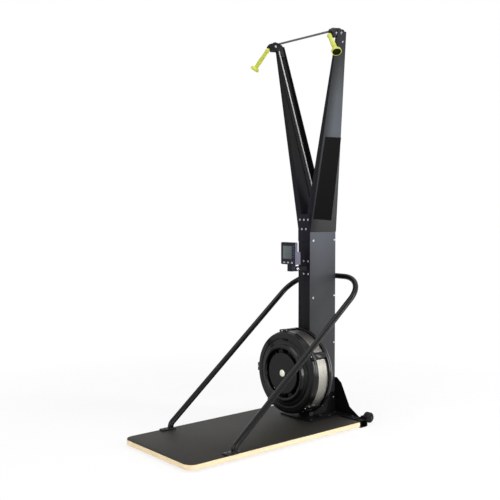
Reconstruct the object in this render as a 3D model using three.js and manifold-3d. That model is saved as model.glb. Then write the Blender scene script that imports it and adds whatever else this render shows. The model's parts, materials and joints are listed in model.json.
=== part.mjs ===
// Standing ski trainer: two pull cords in a V-shaped mast drive an air fan, all on a plywood platform.
// Millimetres, +Z up, +X to the user's right, -Y towards the user. The origin is under the middle.
import * as THREE from "three";
import { mergeVertices } from "three/addons/utils/BufferGeometryUtils.js";
import Module from "manifold-3d";

const wasm = await Module();
wasm.setup();

// Clearances and cuts
const seat_gap = 0.3;
const running_gap = 0.5;
const cut_overrun = 2;
const round_sides = 32;
const small_round_sides = 16;
const bend_steps = 8;
const window_steps = 3;
const corner_steps = 2;
const fan_sides = 40;

// Platform, its top sheet and its rubber feet
const platform_width = 600;
const platform_length = 1195;
const platform_corner_radius = 55;
const board_thickness = 26;
const mat_thickness = 3;
const mat_inset = 1.5;
const pad_height = 11;
const pad_radius = 26;
const pad_top_radius = 22;
const pad_inset_x = 70;
const front_pad_y = 80;
const middle_pad_from_rear = 555;

// Rear cross member and transport wheels
const member_width = 584;
const member_depth = 50;
const member_wall = 3;
const member_gap = 15;
const wheel_radius = 30;
const wheel_width = 40;
const wheel_edge_radius = 6;
const wheel_hub_radius = 14;
const wheel_hub_recess = 3;
const wheel_axle_radius = 5;
const wheel_axle_z = 42;
const wheel_axle_setback = 37;
const fork_plate = 3;
const fork_ear_radius = 11;
const fork_side_gap = 1;

// Steel foot of the mast
const base_plate_thickness = 6;
const base_half_width = 135;
const base_front_reach = 72;
const base_wing_inset = 42;
const base_corner_radius = 14;
const rear_plate_thickness = 5;
const rear_plate_foot_inset = 11;
const rear_plate_knee_half_width = 165;
const rear_plate_knee_z = 92;
const rear_plate_shoulder_half_width = 98;
const rear_plate_shoulder_z = 222;
const rear_plate_top_half_width = 64;
const rear_plate_top_z = 250;
const foot_bracket_thickness = 5;
const foot_bracket_height = 118;
const foot_bracket_top_length = 70;
const foot_bracket_length = 176;
const foot_bracket_flange = 44;
const foot_bracket_toe_height = 20;

// Mast column
const column_width = 96;
const column_depth = 211;
const column_rear_inset = 11;
const column_top_z = 1118;
const sheet_thickness = 2.5;
const front_lip = 36;
const rear_lip = 22;
const shaft_hole_radius = 15;

// Splayed arms, their joint plate and the bar across their tops
const arm_top_z = 2228;
const arm_top_half_width = 258;
const arm_top_depth = 68;
const arm_foot_depth = 215;
const arm_wall = 3;
const arm_top_flange = 11;
const arm_foot_flange = 47.5;
const joint_plate_thickness = 3;
const joint_plate_bottom_z = 1062;
const joint_plate_top_z = 1222;
const joint_plate_corner = 6;
const crossbar_radius = 6;
const crossbar_setback = 14;
const crossbar_rise = 22;
const crossbar_ear_width = 20;
const crossbar_ear_margin = 1.5;

// Pull cords and the pulleys that guide them
const cord_radius = 3.5;
const cord_sides = 8;
const top_pulley_radius = 17;
const top_pulley_flange = 4.5;
const top_pulley_width = 14;
const top_pulley_ahead = 11.5;
const top_pulley_below_tip = 14;
const pulley_pin_radius = 4;
const guide_pulley_radius = 12;
const guide_pulley_flange = 3.5;
const guide_pulley_width = 14;
const guide_pulley_z = 1085;
const guide_cord_x = 13;
const guide_pulley_setback = 30;
const guide_stud_radius = 3;

// Pulley housings at the arm tips: a sheave case toed outwards, outlined from the pulley's centre,
// and a flat foot on the arm's web, outlined from the toe pivot at the arm's front
const toe_share = 0.05;
const toe_pivot_gap = 2;
const housing_width = 26;
const housing_wall = 3;
const housing_crown_radius = 27;
const housing_crown_share = 0.36;
const housing_back_reach = 25;
const housing_notch_margin = 3.2;
const nose_reach = 49;
const nose_tip_rise = 2;
const nose_brow_reach = 41;
const nose_brow_rise = 14;
const nose_heel_reach = 26;
const nose_heel_drop = 26;
const exit_along_nose = 15;
const exit_hole_radius = 5;
const well_front_share = 1.35;
const housing_foot_thickness = 5;
const housing_foot_bottom = 26;
const housing_foot_top = 26;
const housing_foot_step = 38;
const housing_foot_drop = 50;
const housing_foot_length = 65;
const housing_foot_slope_length = 50;
const housing_foot_slope_rise = 12;

// Handles, which hang outwards from the housings
const handle_length = 126;
const handle_radius = 13;
const handle_cup_half_length = 29;
const handle_cup_half_width = 25;
const handle_cup_depth = 15;
const handle_cup_wall = 3;
const handle_outward_share = 0.61;
const handle_forward_share = 0.22;
const handle_standoff = 17;
const handle_head_radius = 13.5;
const handle_head_shares = [0.72, 0.72];
const handle_grip_shares = [
  [1.03, 0],
  [0.85, 0.14],
  [0.85, 0.25],
  [1, 0.5],
  [1, 0.7],
  [0.85, 0.88],
  [1, 1],
];

// Fan: axis, cover, perforated band and rotor, measured back from the tip of the cover's lip
const fan_reach = 173;
const fan_floor_gap = 21;
const lug_angles_deg = [352, 60, 138, 216, 270];
const cover_radius = 236;
const cover_edge_step = 4;
const cover_rim_step = 10;
const cover_shoulder_setback = 28;
const cover_wall_setback = 40;
const cover_back_setback = 61;
const cover_wall = 3;
const groove_inset = 45;
const groove_width = 9;
const groove_setback = 23;
const lip_crest_inset = 84;
const lip_flank_width = 16;
const lip_drop = 7;
const inlet_inset = 97;
const spokes_count = 5;
const spoke_width = 11;
const spoke_setback = 7;
const spoke_depth = 19;
const hub_boss_radius = 34;
const inlet_gap = 23;
const front_disc_thickness = 4;
const hub_cap_radius = 20;
const hub_cap_height = 6;
const hub_cap_top_share = 0.6;
const band_thickness = 1.5;
const band_width = 71;
const band_posts = 36;
const band_rows = 3;
const band_rib_share = 0.34;
const rear_rim_step = 12;
const rear_rim_width = 18;
const rear_back_step = 6;
const lug_radius = 12;
const lug_base_width = 50;
const lug_base_setback = 30;
const shaft_radius = 10;
const rotor_tip_gap = 27;
const rotor_hub_radius = 38;
const rotor_disc_thickness = 5;
const rotor_front_setback = 42;
const rotor_back_setback = 126;
const rotor_blades = 20;
const blade_thickness = 3;
const blade_length = 82;
const blade_clear_of_hub = 8;
const damper_thickness = 3;
const damper_past_groove = 17;
const damper_windows = 10;
const damper_window_inside_inlet = 31;
const damper_window_outside_inlet = 7;
const damper_open_share = 0.55;
const damper_tab_width = 33;
const damper_tab_height = 6;
const damper_tab_proud = 9;
const damper_travel_share = 0.055;

// Cord drums and rear bearing on the fan's shaft
const drum_core_radius = 20.2;
const drum_flange = 12;
const drum_width = 25;
const drum_flange_thickness = 3;
const spool_width = 12;
const drum_gap = 6;
const rear_bearing_size = 60;
const rear_bearing_depth = 24;
const drum_to_bearing = 6;
const bend_slack = 0.2;

// Elastic return cord, an upside-down U over a roller, from one drum's spool to the other's
const bungee_radius = 4;
const bungee_top_z = 985;
const bungee_roller_width = 11;
const bungee_stud_radius = 6;

// Guard rail
const rail_half_width = 279.5;
const rail_radius = 16;
const rail_wall = 2;
const rail_sides = 12;
const rail_bend_steps = 6;
const rail_bar_z = 855;
const rail_foot_y = 290;
const rail_knee_z = 67.5;
const rail_knee_radius = 38;
const rail_bend_radius = 178;
const rail_flange_length = 88;
const rail_flange_behind = 25;
const rail_flange_width = 42;
const rail_flange_thickness = 6;

// Monitor, its tilt bracket and its buttons
const monitor_width = 118;
const monitor_height = 126;
const monitor_x = 11;
const monitor_reach = 138;
const monitor_over_pivot = 27;
const monitor_corner_radius = 7;
const monitor_wall = 3;
const monitor_front_depth = 10;
const monitor_back_depth = 8;
const battery_box_width = 110;
const battery_box_height = 72;
const battery_box_depth = 26;
const screen_width = 74;
const screen_height = 76;
const screen_left_margin = 15;
const screen_top_margin = 19;
const screen_recess = 0.6;
const pivot_reach = 81;
const pivot_z = 909;
const pivot_radius = 4;
const lug_block_width = 34;
const lug_block_end_radius = 13;
const lug_block_front = 54;
const bracket_plate = 3;
const bracket_flange_width = 64;
const bracket_flange_bottom_z = 868;
const bracket_flange_top_z = 958;
const bracket_ear_depth = 80;
const bracket_web_clearance = 18;
const under_button_width = 15;
const under_button_height = 8;
const under_button_spacing = 32;
const under_button_rise = 11;
const side_buttons = 5;
const side_button_width = 17;
const side_button_height = 8;
const side_button_spacing = 14;
const side_button_inset = 14.5;
const button_proud = 1.6;
const button_skirt = 1.5;
const button_skirt_depth = 1.5;

// Heights and places that follow from the sizes above
const board_bottom_z = pad_height + seat_gap;
const board_top_z = board_bottom_z + board_thickness;
const mat_bottom_z = board_top_z + seat_gap;
const deck_z = mat_bottom_z + mat_thickness;
const base_bottom_z = deck_z + seat_gap;
const base_top_z = base_bottom_z + base_plate_thickness;
const foot_z = base_top_z + seat_gap;
const base_wing_half_width = member_width / 2 - base_wing_inset;
const column_half = column_width / 2;
const member_front_y = platform_length + member_gap;
const member_rear_y = member_front_y + member_depth;
const column_rear_y = member_rear_y - column_rear_inset;
const column_front_y = column_rear_y - column_depth;
const wheel_axle_y = member_rear_y + seat_gap + fork_plate + wheel_axle_setback;
const machine_length = wheel_axle_y + wheel_radius;
const arm_foot_z = column_top_z + seat_gap;
const fan_front_y = column_front_y - fan_reach;
const fan_axis_z = base_top_z + fan_floor_gap + cover_radius + rear_rim_step;
const cover_edge_radius = cover_radius - cover_edge_step;
const cover_rim_radius = cover_radius - cover_rim_step;
const groove_radius = cover_radius - groove_inset;
const lip_crest_radius = cover_radius - lip_crest_inset;
const inlet_radius = cover_radius - inlet_inset;
const front_disc_radius = inlet_radius - inlet_gap;
const rear_rim_radius = cover_radius + rear_rim_step;
const rear_rim_inner_radius = cover_radius - cover_wall;
const rear_back_radius = cover_radius - rear_back_step;
const rotor_radius = cover_radius - rotor_tip_gap;
const blade_inner_radius = rotor_radius - blade_thickness - blade_length;
const damper_outer_radius = groove_radius + damper_past_groove;
const damper_window_inner = inlet_radius - damper_window_inside_inlet;
const damper_window_outer = inlet_radius + damper_window_outside_inlet;
const arm_height = arm_top_z - arm_foot_z;
const arm_lean = Math.atan((arm_top_half_width - column_half) / arm_height);
const toe_angle = 2 * Math.PI * toe_share;
const monitor_front_y = column_front_y - monitor_reach;
const monitor_bottom_z = pivot_z + monitor_over_pivot;
const pivot_y = column_front_y - pivot_reach;
const cord_track = top_pulley_radius + cord_radius + seat_gap;
const top_pulley_z = arm_top_z - top_pulley_below_tip;

const colours = {
  frame: new THREE.MeshStandardMaterial({ color: 0x26272a, roughness: 0.55, metalness: 0.3 }),
  side: new THREE.MeshStandardMaterial({ color: 0x3a3c40, roughness: 0.5, metalness: 0.3 }),
  wood: new THREE.MeshStandardMaterial({ color: 0xe6cfa2, roughness: 0.6, metalness: 0 }),
  mat: new THREE.MeshStandardMaterial({ color: 0x2c2d2c, roughness: 0.85, metalness: 0 }),
  rubber: new THREE.MeshStandardMaterial({ color: 0x18181a, roughness: 0.9, metalness: 0 }),
  plastic: new THREE.MeshStandardMaterial({ color: 0x1c1d1f, roughness: 0.45, metalness: 0 }),
  disc: new THREE.MeshStandardMaterial({ color: 0x333538, roughness: 0.5, metalness: 0 }),
  mesh: new THREE.MeshStandardMaterial({ color: 0xcfc9bd, roughness: 0.3, metalness: 0.9 }),
  steel: new THREE.MeshStandardMaterial({ color: 0xb9babc, roughness: 0.3, metalness: 1 }),
  lime: new THREE.MeshStandardMaterial({ color: 0xc8dc3c, roughness: 0.5, metalness: 0 }),
  cord: new THREE.MeshStandardMaterial({ color: 0xb5b4b0, roughness: 0.8, metalness: 0 }),
  cap: new THREE.MeshStandardMaterial({ color: 0xe9e7c8, roughness: 0.4, metalness: 0 }),
  screen: new THREE.MeshStandardMaterial({ color: 0x6f7d78, roughness: 0.15, metalness: 0 }),
  button: new THREE.MeshStandardMaterial({ color: 0x8e939c, roughness: 0.6, metalness: 0 }),
};

// A closed geometry as a solid, and a solid as a geometry.
function solid(geometry) {
  const bare = geometry.clone();
  bare.deleteAttribute("normal");
  bare.deleteAttribute("uv");
  const merged = mergeVertices(bare, 1e-4);
  const vertProperties = merged.attributes.position.array;
  const triVerts = new Uint32Array(merged.index.array);
  return new wasm.Manifold(new wasm.Mesh({ numProp: 3, vertProperties, triVerts }));
}

function geometryOf(made) {
  const mesh = made.getMesh();
  const geometry = new THREE.BufferGeometry();
  geometry.setAttribute("position", new THREE.BufferAttribute(mesh.vertProperties, 3));
  geometry.setIndex(new THREE.BufferAttribute(mesh.triVerts, 1));
  geometry.computeVertexNormals();
  return geometry;
}

function join(...pieces) {
  return geometryOf(pieces.map(solid).reduce((a, b) => a.add(b)));
}

function cut(body, ...tools) {
  return geometryOf(tools.map(solid).reduce((a, b) => a.subtract(b), solid(body)));
}

function block(x0, x1, y0, y1, z0, z1) {
  const made = new THREE.BoxGeometry(x1 - x0, y1 - y0, z1 - z0);
  return made.translate((x0 + x1) / 2, (y0 + y1) / 2, (z0 + z1) / 2);
}

// A rod along one axis: a and b are its middle in the other two axes, in X, Y, Z order.
function rod(axis, a, b, from, to, radius, sides = round_sides) {
  const made = new THREE.CylinderGeometry(radius, radius, to - from, sides);
  const middle = (from + to) / 2;
  if (axis === "x") return made.rotateZ(Math.PI / 2).translate(middle, a, b);
  if (axis === "y") return made.translate(a, middle, b);
  return made.rotateX(Math.PI / 2).translate(a, b, middle);
}

// Flat outlines pushed out along X (drawn in Y and Z), along Y (drawn in X and Z) or along Z.
function plate(axis, shape, from, to, curve_steps = bend_steps) {
  const options = { depth: to - from, bevelEnabled: false, curveSegments: curve_steps };
  const made = new THREE.ExtrudeGeometry(shape, options);
  if (axis === "x") {
    const turn = new THREE.Matrix4().set(0, 0, 1, 0, 1, 0, 0, 0, 0, 1, 0, 0, 0, 0, 0, 1);
    return made.applyMatrix4(turn).translate(from, 0, 0);
  }
  if (axis === "y") return made.rotateX(Math.PI / 2).translate(0, to, 0);
  return made.translate(0, 0, from);
}

// Points along an arc, as pairs in the plane of an outline.
function arc(radius, from, to, steps, x = 0, y = 0) {
  const points = [];
  for (let i = 0; i <= steps; i++) {
    const angle = from + ((to - from) * i) / steps;
    points.push([x + radius * Math.cos(angle), y + radius * Math.sin(angle)]);
  }
  return points;
}

function outline(points) {
  return new THREE.Shape(points.map(([a, b]) => new THREE.Vector2(a, b)));
}

function hole(points) {
  return new THREE.Path(points.map(([a, b]) => new THREE.Vector2(a, b)));
}

function roundedRectangle(x0, x1, y0, y1, radius) {
  const shape = new THREE.Shape();
  shape.moveTo(x0 + radius, y0);
  shape.lineTo(x1 - radius, y0);
  shape.absarc(x1 - radius, y0 + radius, radius, -Math.PI / 2, 0);
  shape.lineTo(x1, y1 - radius);
  shape.absarc(x1 - radius, y1 - radius, radius, 0, Math.PI / 2);
  shape.lineTo(x0 + radius, y1);
  shape.absarc(x0 + radius, y1 - radius, radius, Math.PI / 2, Math.PI);
  shape.lineTo(x0, y0 + radius);
  shape.absarc(x0 + radius, y0 + radius, radius, Math.PI, Math.PI * 1.5);
  return shape;
}

// A turned piece: the profile lists radius and place along the axis, and may run either way round.
function turned(axis, profile, sides = round_sides) {
  const points = profile.map(([radius, along]) => new THREE.Vector2(radius, along));
  if (THREE.ShapeUtils.area(points) < 0) points.reverse();
  const made = new THREE.LatheGeometry(points, sides);
  if (axis === "x") return made.rotateZ(-Math.PI / 2);
  if (axis === "z") return made.rotateX(Math.PI / 2);
  return made;
}

// A solid between a rectangle at one height and another above it.
function taper(low, high) {
  const corners = [low, high].flatMap(({ x, y, z }) => [
    [x[0], y[0], z],
    [x[1], y[0], z],
    [x[1], y[1], z],
    [x[0], y[1], z],
  ]);
  const faces = [2, 1, 0, 3, 2, 0, 4, 5, 6, 4, 6, 7];
  for (let i = 0; i < 4; i++) {
    const next = (i + 1) % 4;
    faces.push(i, next, next + 4, i, next + 4, i + 4);
  }
  const geometry = new THREE.BufferGeometry();
  geometry.setAttribute("position", new THREE.Float32BufferAttribute(corners.flat(), 3));
  geometry.setIndex(faces);
  return geometry;
}

// The right side's piece, or its mirror image for the left.
function sided(geometry, side) {
  if (side > 0) return geometry;
  const made = geometry.index ? geometry.toNonIndexed() : geometry.clone();
  const position = made.attributes.position;
  for (let i = 0; i < position.count; i += 3) {
    const corners = [0, 2, 1].map((k) => new THREE.Vector3().fromBufferAttribute(position, i + k));
    corners.forEach((corner, k) => position.setXYZ(i + k, -corner.x, corner.y, corner.z));
  }
  made.deleteAttribute("uv");
  made.deleteAttribute("normal");
  made.computeVertexNormals();
  return made;
}

// A polyline with its corners rounded to the radii given.
function roundedRoute(points, radii, steps = bend_steps) {
  const route = [points[0]];
  for (let i = 1; i < points.length - 1; i++) {
    const back = points[i - 1].clone().sub(points[i]).normalize();
    const ahead = points[i + 1].clone().sub(points[i]).normalize();
    const half_angle = back.angleTo(ahead) / 2;
    const middle = back.clone().add(ahead).normalize();
    const centre = points[i].clone().addScaledVector(middle, radii[i - 1] / Math.sin(half_angle));
    const start = points[i].clone().addScaledVector(back, radii[i - 1] / Math.tan(half_angle));
    const from = start.sub(centre);
    const axis = new THREE.Vector3().crossVectors(ahead, back).normalize();
    const sweep = Math.PI - 2 * half_angle;
    for (let k = 0; k <= steps; k++) {
      const turn = from.clone().applyAxisAngle(axis, (sweep * k) / steps);
      route.push(centre.clone().add(turn));
    }
  }
  route.push(points[points.length - 1]);
  return route;
}

class Route extends THREE.Curve {
  constructor(points) {
    super();
    this.points = points;
  }
  getPoint(t, target = new THREE.Vector3()) {
    const last = this.points.length - 1;
    const place = Math.min(Math.max(t, 0), 1) * last;
    const i = Math.min(Math.floor(place), last - 1);
    return target.lerpVectors(this.points[i], this.points[i + 1], place - i);
  }
  getPointAt(u, target) {
    return this.getPoint(u, target);
  }
  getTangentAt(u, target) {
    return this.getTangent(u, target);
  }
}

// A round tube along a route of points, one ring at each.
function tube(route, radius, sides) {
  const ring = [];
  for (let i = 0; i < sides; i++) {
    const angle = (2 * Math.PI * i) / sides;
    ring.push([radius * Math.cos(angle), radius * Math.sin(angle)]);
  }
  const options = { steps: route.length - 1, bevelEnabled: false, extrudePath: new Route(route) };
  return new THREE.ExtrudeGeometry(outline(ring), options);
}

const machine = new THREE.Group();
machine.position.y = -machine_length / 2;

function add(parent, name, geometry, material) {
  const mesh = new THREE.Mesh(geometry, material);
  mesh.name = name;
  parent.add(mesh);
  return mesh;
}

const sides = [
  ["left", -1],
  ["right", 1],
];

// Platform: plywood board with rounded front corners, a thin grip sheet and rubber feet.
function deckShape(inset) {
  const half = platform_width / 2 - inset;
  const radius = platform_corner_radius - inset;
  const shape = new THREE.Shape();
  shape.moveTo(-half + radius, inset);
  shape.lineTo(half - radius, inset);
  shape.absarc(half - radius, inset + radius, radius, -Math.PI / 2, 0);
  shape.lineTo(half, platform_length - inset);
  shape.lineTo(-half, platform_length - inset);
  shape.lineTo(-half, inset + radius);
  shape.absarc(-half + radius, inset + radius, radius, Math.PI, Math.PI * 1.5);
  return shape;
}

function addPlatform() {
  add(machine, "platform_board", plate("z", deckShape(0), board_bottom_z, board_top_z), colours.wood);
  add(machine, "platform_mat", plate("z", deckShape(mat_inset), mat_bottom_z, deck_z), colours.mat);
  for (const [name, side] of sides) {
    for (const [row, y] of [
      ["front", front_pad_y],
      ["middle", platform_length - middle_pad_from_rear],
    ]) {
      const pad = new THREE.CylinderGeometry(pad_top_radius, pad_radius, pad_height, small_round_sides);
      pad.rotateX(Math.PI / 2);
      const mesh = add(machine, `foot_pad_${row}_${name}`, pad, colours.rubber);
      mesh.position.set(side * (platform_width / 2 - pad_inset_x), y, pad_height / 2);
    }
  }
}

// Rear cross member: a rectangular tube on the floor behind the board.
function addCrossMember() {
  const half = member_width / 2;
  const outer = block(-half, half, member_front_y, member_rear_y, 0, deck_z);
  const bore = block(
    -half - cut_overrun,
    half + cut_overrun,
    member_front_y + member_wall,
    member_rear_y - member_wall,
    member_wall,
    deck_z - member_wall,
  );
  add(machine, "rear_cross_member", cut(outer, bore), colours.frame);
}

// Transport wheels ride clear of the floor in forks behind the member, and touch it when tilted.
function addTransportWheels() {
  const fork_outer_x = member_width / 2;
  const wheel_outer_x = fork_outer_x - fork_plate - fork_side_gap;
  const wheel_inner_x = wheel_outer_x - wheel_width;
  const fork_inner_x = wheel_inner_x - fork_side_gap - fork_plate;
  const fork_front_y = member_rear_y + seat_gap;
  const ear = new THREE.Shape();
  ear.moveTo(fork_front_y, wheel_axle_z - fork_ear_radius);
  ear.lineTo(wheel_axle_y, wheel_axle_z - fork_ear_radius);
  ear.absarc(wheel_axle_y, wheel_axle_z, fork_ear_radius, -Math.PI / 2, Math.PI / 2);
  ear.lineTo(fork_front_y, wheel_axle_z + fork_ear_radius);
  const ear_top_z = wheel_axle_z + fork_ear_radius;
  const ear_bottom_z = wheel_axle_z - fork_ear_radius;
  const knee_x = fork_outer_x - fork_plate;
  const knee_y = fork_front_y + 2 * fork_plate;
  const [axle_start, axle_end] = [fork_inner_x + fork_plate / 2, fork_outer_x - fork_plate / 2];
  const fork = join(
    plate("x", ear, fork_inner_x, fork_inner_x + fork_plate),
    plate("x", ear, knee_x, fork_outer_x),
    block(fork_inner_x, fork_outer_x, fork_front_y, fork_front_y + fork_plate, member_wall, ear_top_z),
    block(knee_x, fork_outer_x, fork_front_y, knee_y, member_wall, ear_bottom_z + fork_plate),
    rod("x", wheel_axle_y, wheel_axle_z, axle_start, axle_end, wheel_axle_radius, small_round_sides),
  );
  const half = wheel_width / 2;
  const bore = wheel_axle_radius + running_gap;
  const tyre_profile = [
    [bore, -half + wheel_hub_recess],
    [wheel_hub_radius, -half + wheel_hub_recess],
    [wheel_hub_radius, -half],
    [wheel_radius - wheel_edge_radius, -half],
    [wheel_radius, -half + wheel_edge_radius],
    [wheel_radius, half - wheel_edge_radius],
    [wheel_radius - wheel_edge_radius, half],
    [wheel_hub_radius, half],
    [wheel_hub_radius, half - wheel_hub_recess],
    [bore, half - wheel_hub_recess],
    [bore, -half + wheel_hub_recess],
  ];
  const tyre = turned("x", tyre_profile, small_round_sides + bend_steps);
  for (const [name, side] of sides) {
    add(machine, `wheel_bracket_${name}`, sided(fork, side), colours.frame);
    const wheel = add(machine, `transport_wheel_${name}`, tyre, colours.rubber);
    wheel.position.set((side * (wheel_outer_x + wheel_inner_x)) / 2, wheel_axle_y, wheel_axle_z);
  }
}

// Foot: a base plate over the board and the member, a flared plate behind and a bracket each side.
function addFoot() {
  const front_y = column_front_y - base_front_reach;
  const wing_y = member_front_y - member_gap;
  const rear_y = member_rear_y;
  const corner = base_corner_radius;
  const base = outline([
    [-base_half_width + corner, front_y],
    [base_half_width - corner, front_y],
    [base_half_width, front_y + corner],
    [base_half_width, wing_y - corner],
    [base_half_width + corner, wing_y],
    [base_wing_half_width, wing_y],
    [base_wing_half_width, rear_y],
    [-base_wing_half_width, rear_y],
    [-base_wing_half_width, wing_y],
    [-base_half_width - corner, wing_y],
    [-base_half_width, wing_y - corner],
    [-base_half_width, front_y + corner],
  ]);
  add(machine, "base_plate", plate("z", base, base_bottom_z, base_top_z), colours.frame);

  const flare = [
    [base_wing_half_width - rear_plate_foot_inset, foot_z],
    [rear_plate_knee_half_width, rear_plate_knee_z],
    [rear_plate_shoulder_half_width, rear_plate_shoulder_z],
    [rear_plate_top_half_width, rear_plate_top_z],
  ];
  const mirrored = flare.map(([x, z]) => [-x, z]).reverse();
  const rear_plate_y = column_rear_y + seat_gap;
  const rear_plate_back = rear_plate_y + rear_plate_thickness;
  const rear_plate = plate("y", outline([...flare, ...mirrored]), rear_plate_y, rear_plate_back);
  add(machine, "rear_foot_plate", rear_plate, colours.frame);

  const inner_x = column_half + seat_gap;
  const outer_x = inner_x + foot_bracket_thickness;
  const bracket_rear_y = column_rear_y - sheet_thickness;
  const bracket_front_y = bracket_rear_y - foot_bracket_length;
  const cheek = outline([
    [bracket_front_y, foot_z],
    [bracket_rear_y, foot_z],
    [bracket_rear_y, foot_z + foot_bracket_height],
    [bracket_rear_y - foot_bracket_top_length, foot_z + foot_bracket_height],
    [bracket_front_y, foot_z + foot_bracket_toe_height],
  ]);
  const flange_x = outer_x + foot_bracket_flange;
  const flange_z = foot_z + foot_bracket_thickness;
  const bracket = join(
    plate("x", cheek, inner_x, outer_x),
    block(inner_x, flange_x, bracket_front_y, bracket_rear_y, foot_z, flange_z),
  );
  for (const [name, side] of sides) {
    add(machine, `foot_bracket_${name}`, sided(bracket, side), colours.frame);
  }
}

// Column: folded front and rear channels closed by two flat side panels.
function channelShape(face_y, lip, direction) {
  const half = column_half - sheet_thickness - seat_gap;
  const inner = half - sheet_thickness;
  const wall_y = face_y + direction * sheet_thickness;
  const lip_y = face_y + direction * lip;
  const points = [
    [-half, face_y],
    [half, face_y],
    [half, lip_y],
    [inner, lip_y],
    [inner, wall_y],
    [-inner, wall_y],
    [-inner, lip_y],
    [-half, lip_y],
  ];
  return outline(direction > 0 ? points : points.reverse());
}

function guideCentre() {
  const x = guide_cord_x + cord_radius + seat_gap + guide_pulley_radius;
  return { x, y: column_rear_y - guide_pulley_setback, z: guide_pulley_z };
}

function bungeePlace() {
  const [rear_leg, front_leg] = [drumPlace("left").spool, drumPlace("right").spool];
  const bend = (rear_leg - front_leg) / 2;
  const x = -(drum_core_radius + seat_gap + bungee_radius);
  return { x, bend, y: (rear_leg + front_leg) / 2, z: bungee_top_z - bend };
}

function addColumn() {
  const bore_end = column_front_y + front_lip;
  const shaft_bore = rod("y", 0, fan_axis_z, column_front_y - cut_overrun, bore_end, shaft_hole_radius);
  const front = cut(plate("z", channelShape(column_front_y, front_lip, 1), foot_z, column_top_z), shaft_bore);
  add(machine, "column_front_panel", front, colours.frame);

  const guide = guideCentre();
  const inside_rear_y = column_rear_y - sheet_thickness;
  const stud_front_y = guide.y - guide_pulley_width / 2 - seat_gap;
  const stud_rear_y = inside_rear_y + sheet_thickness / 2;
  const studs = [-guide.x, guide.x].map((x) =>
    rod("y", x, guide.z, stud_front_y, stud_rear_y, guide_stud_radius, small_round_sides),
  );
  const rear_channel = plate("z", channelShape(column_rear_y, rear_lip, -1), foot_z, column_top_z);
  add(machine, "column_rear_panel", join(rear_channel, ...studs), colours.frame);

  const panel_x = column_half - sheet_thickness;
  const panel = block(panel_x, column_half, column_front_y, column_rear_y, foot_z, column_top_z);
  const { x, y, z, bend } = bungeePlace();
  const roller_half = bungee_roller_width / 2;
  const roller_radius = bend - bungee_radius - running_gap;
  const roller = join(
    rod("x", y, z, sheet_thickness / 2 - column_half, x, bungee_stud_radius, small_round_sides),
    rod("x", y, z, x - roller_half, x + roller_half, roller_radius),
  );
  add(machine, "column_left_panel", join(sided(panel, -1), roller), colours.side);
  add(machine, "column_right_panel", panel, colours.side);
}

// Arms: tapering channels, open towards each other, that lean outwards to the tips.
function armSection(z) {
  const up_share = (z - arm_foot_z) / arm_height;
  const outer = THREE.MathUtils.lerp(column_half, arm_top_half_width, up_share);
  const flange = THREE.MathUtils.lerp(arm_foot_flange, arm_top_flange, up_share);
  const depth = THREE.MathUtils.lerp(arm_foot_depth, arm_top_depth, up_share);
  return { outer, flange, depth, z };
}

function addArms() {
  const low = armSection(arm_foot_z);
  const high = armSection(arm_top_z);
  const filledAt = ({ outer, flange, depth, z }) => ({
    x: [outer - flange, outer],
    y: [column_front_y, column_front_y + depth],
    z,
  });
  const channel = taper(filledAt(low), filledAt(high));
  const [under, over] = [armSection(arm_foot_z - cut_overrun), armSection(arm_top_z + cut_overrun)];
  const hollowAt = ({ outer, flange, depth, z }) => ({
    x: [outer - flange - column_half, outer - arm_wall],
    y: [column_front_y + arm_wall, column_front_y + depth - arm_wall],
    z,
  });
  const notch_y = column_front_y - pivotPlace().y;
  const notch = onArm(
    block(
      -column_half,
      housing_width / 2 + seat_gap,
      notch_y - cut_overrun,
      notch_y + arm_wall + cut_overrun,
      -nose_heel_drop - housing_notch_margin,
      housing_foot_drop,
    ),
    1,
  );
  const arm = cut(channel, taper(hollowAt(under), hollowAt(over)), notch);
  for (const [name, side] of sides) {
    add(machine, `arm_${name}`, sided(arm, side), colours.side);
  }
  const face_y = column_front_y - seat_gap;
  const front = roundedRectangle(
    -column_half,
    column_half,
    joint_plate_bottom_z,
    joint_plate_top_z,
    joint_plate_corner,
  );
  const joint = plate("y", front, face_y - joint_plate_thickness, face_y, corner_steps);
  add(machine, "joint_plate", joint, colours.frame);
}

// The toe pivot is on the arm's leaning web, and the pulley's centre lies a little ahead of it.
function pivotPlace() {
  const web_x = armSection(top_pulley_z).outer - arm_wall;
  const x = web_x - (housing_width / 2 + seat_gap) / Math.cos(arm_lean);
  return new THREE.Vector3(x, column_front_y - toe_pivot_gap, top_pulley_z);
}

function onArm(geometry, side) {
  const made = sided(geometry, side);
  made.rotateY(side * arm_lean);
  const pivot = pivotPlace();
  return made.translate(side * pivot.x, pivot.y, pivot.z);
}

// Where the cord leaves the pulley and the nose, in the housing's own plane.
function nosePoint() {
  const tip = new THREE.Vector2(-nose_reach, nose_tip_rise);
  const heel = new THREE.Vector2(-nose_heel_reach, -nose_heel_drop);
  const face = heel.clone().sub(tip).normalize();
  const exit = tip.clone().addScaledVector(face, exit_along_nose);
  const exit_angle = Math.atan2(exit.y, exit.x) + 2 * Math.PI;
  const leave_angle = exit_angle - Math.acos(cord_track / exit.length());
  const leave = new THREE.Vector2(Math.cos(leave_angle), Math.sin(leave_angle)).multiplyScalar(cord_track);
  const along = exit.clone().sub(leave).normalize();
  return { exit, leave, leave_angle, along };
}

function inHousing(geometry, side) {
  const made = geometry.clone().translate(0, -top_pulley_ahead, 0).rotateZ(toe_angle);
  return onArm(made, side);
}

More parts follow.
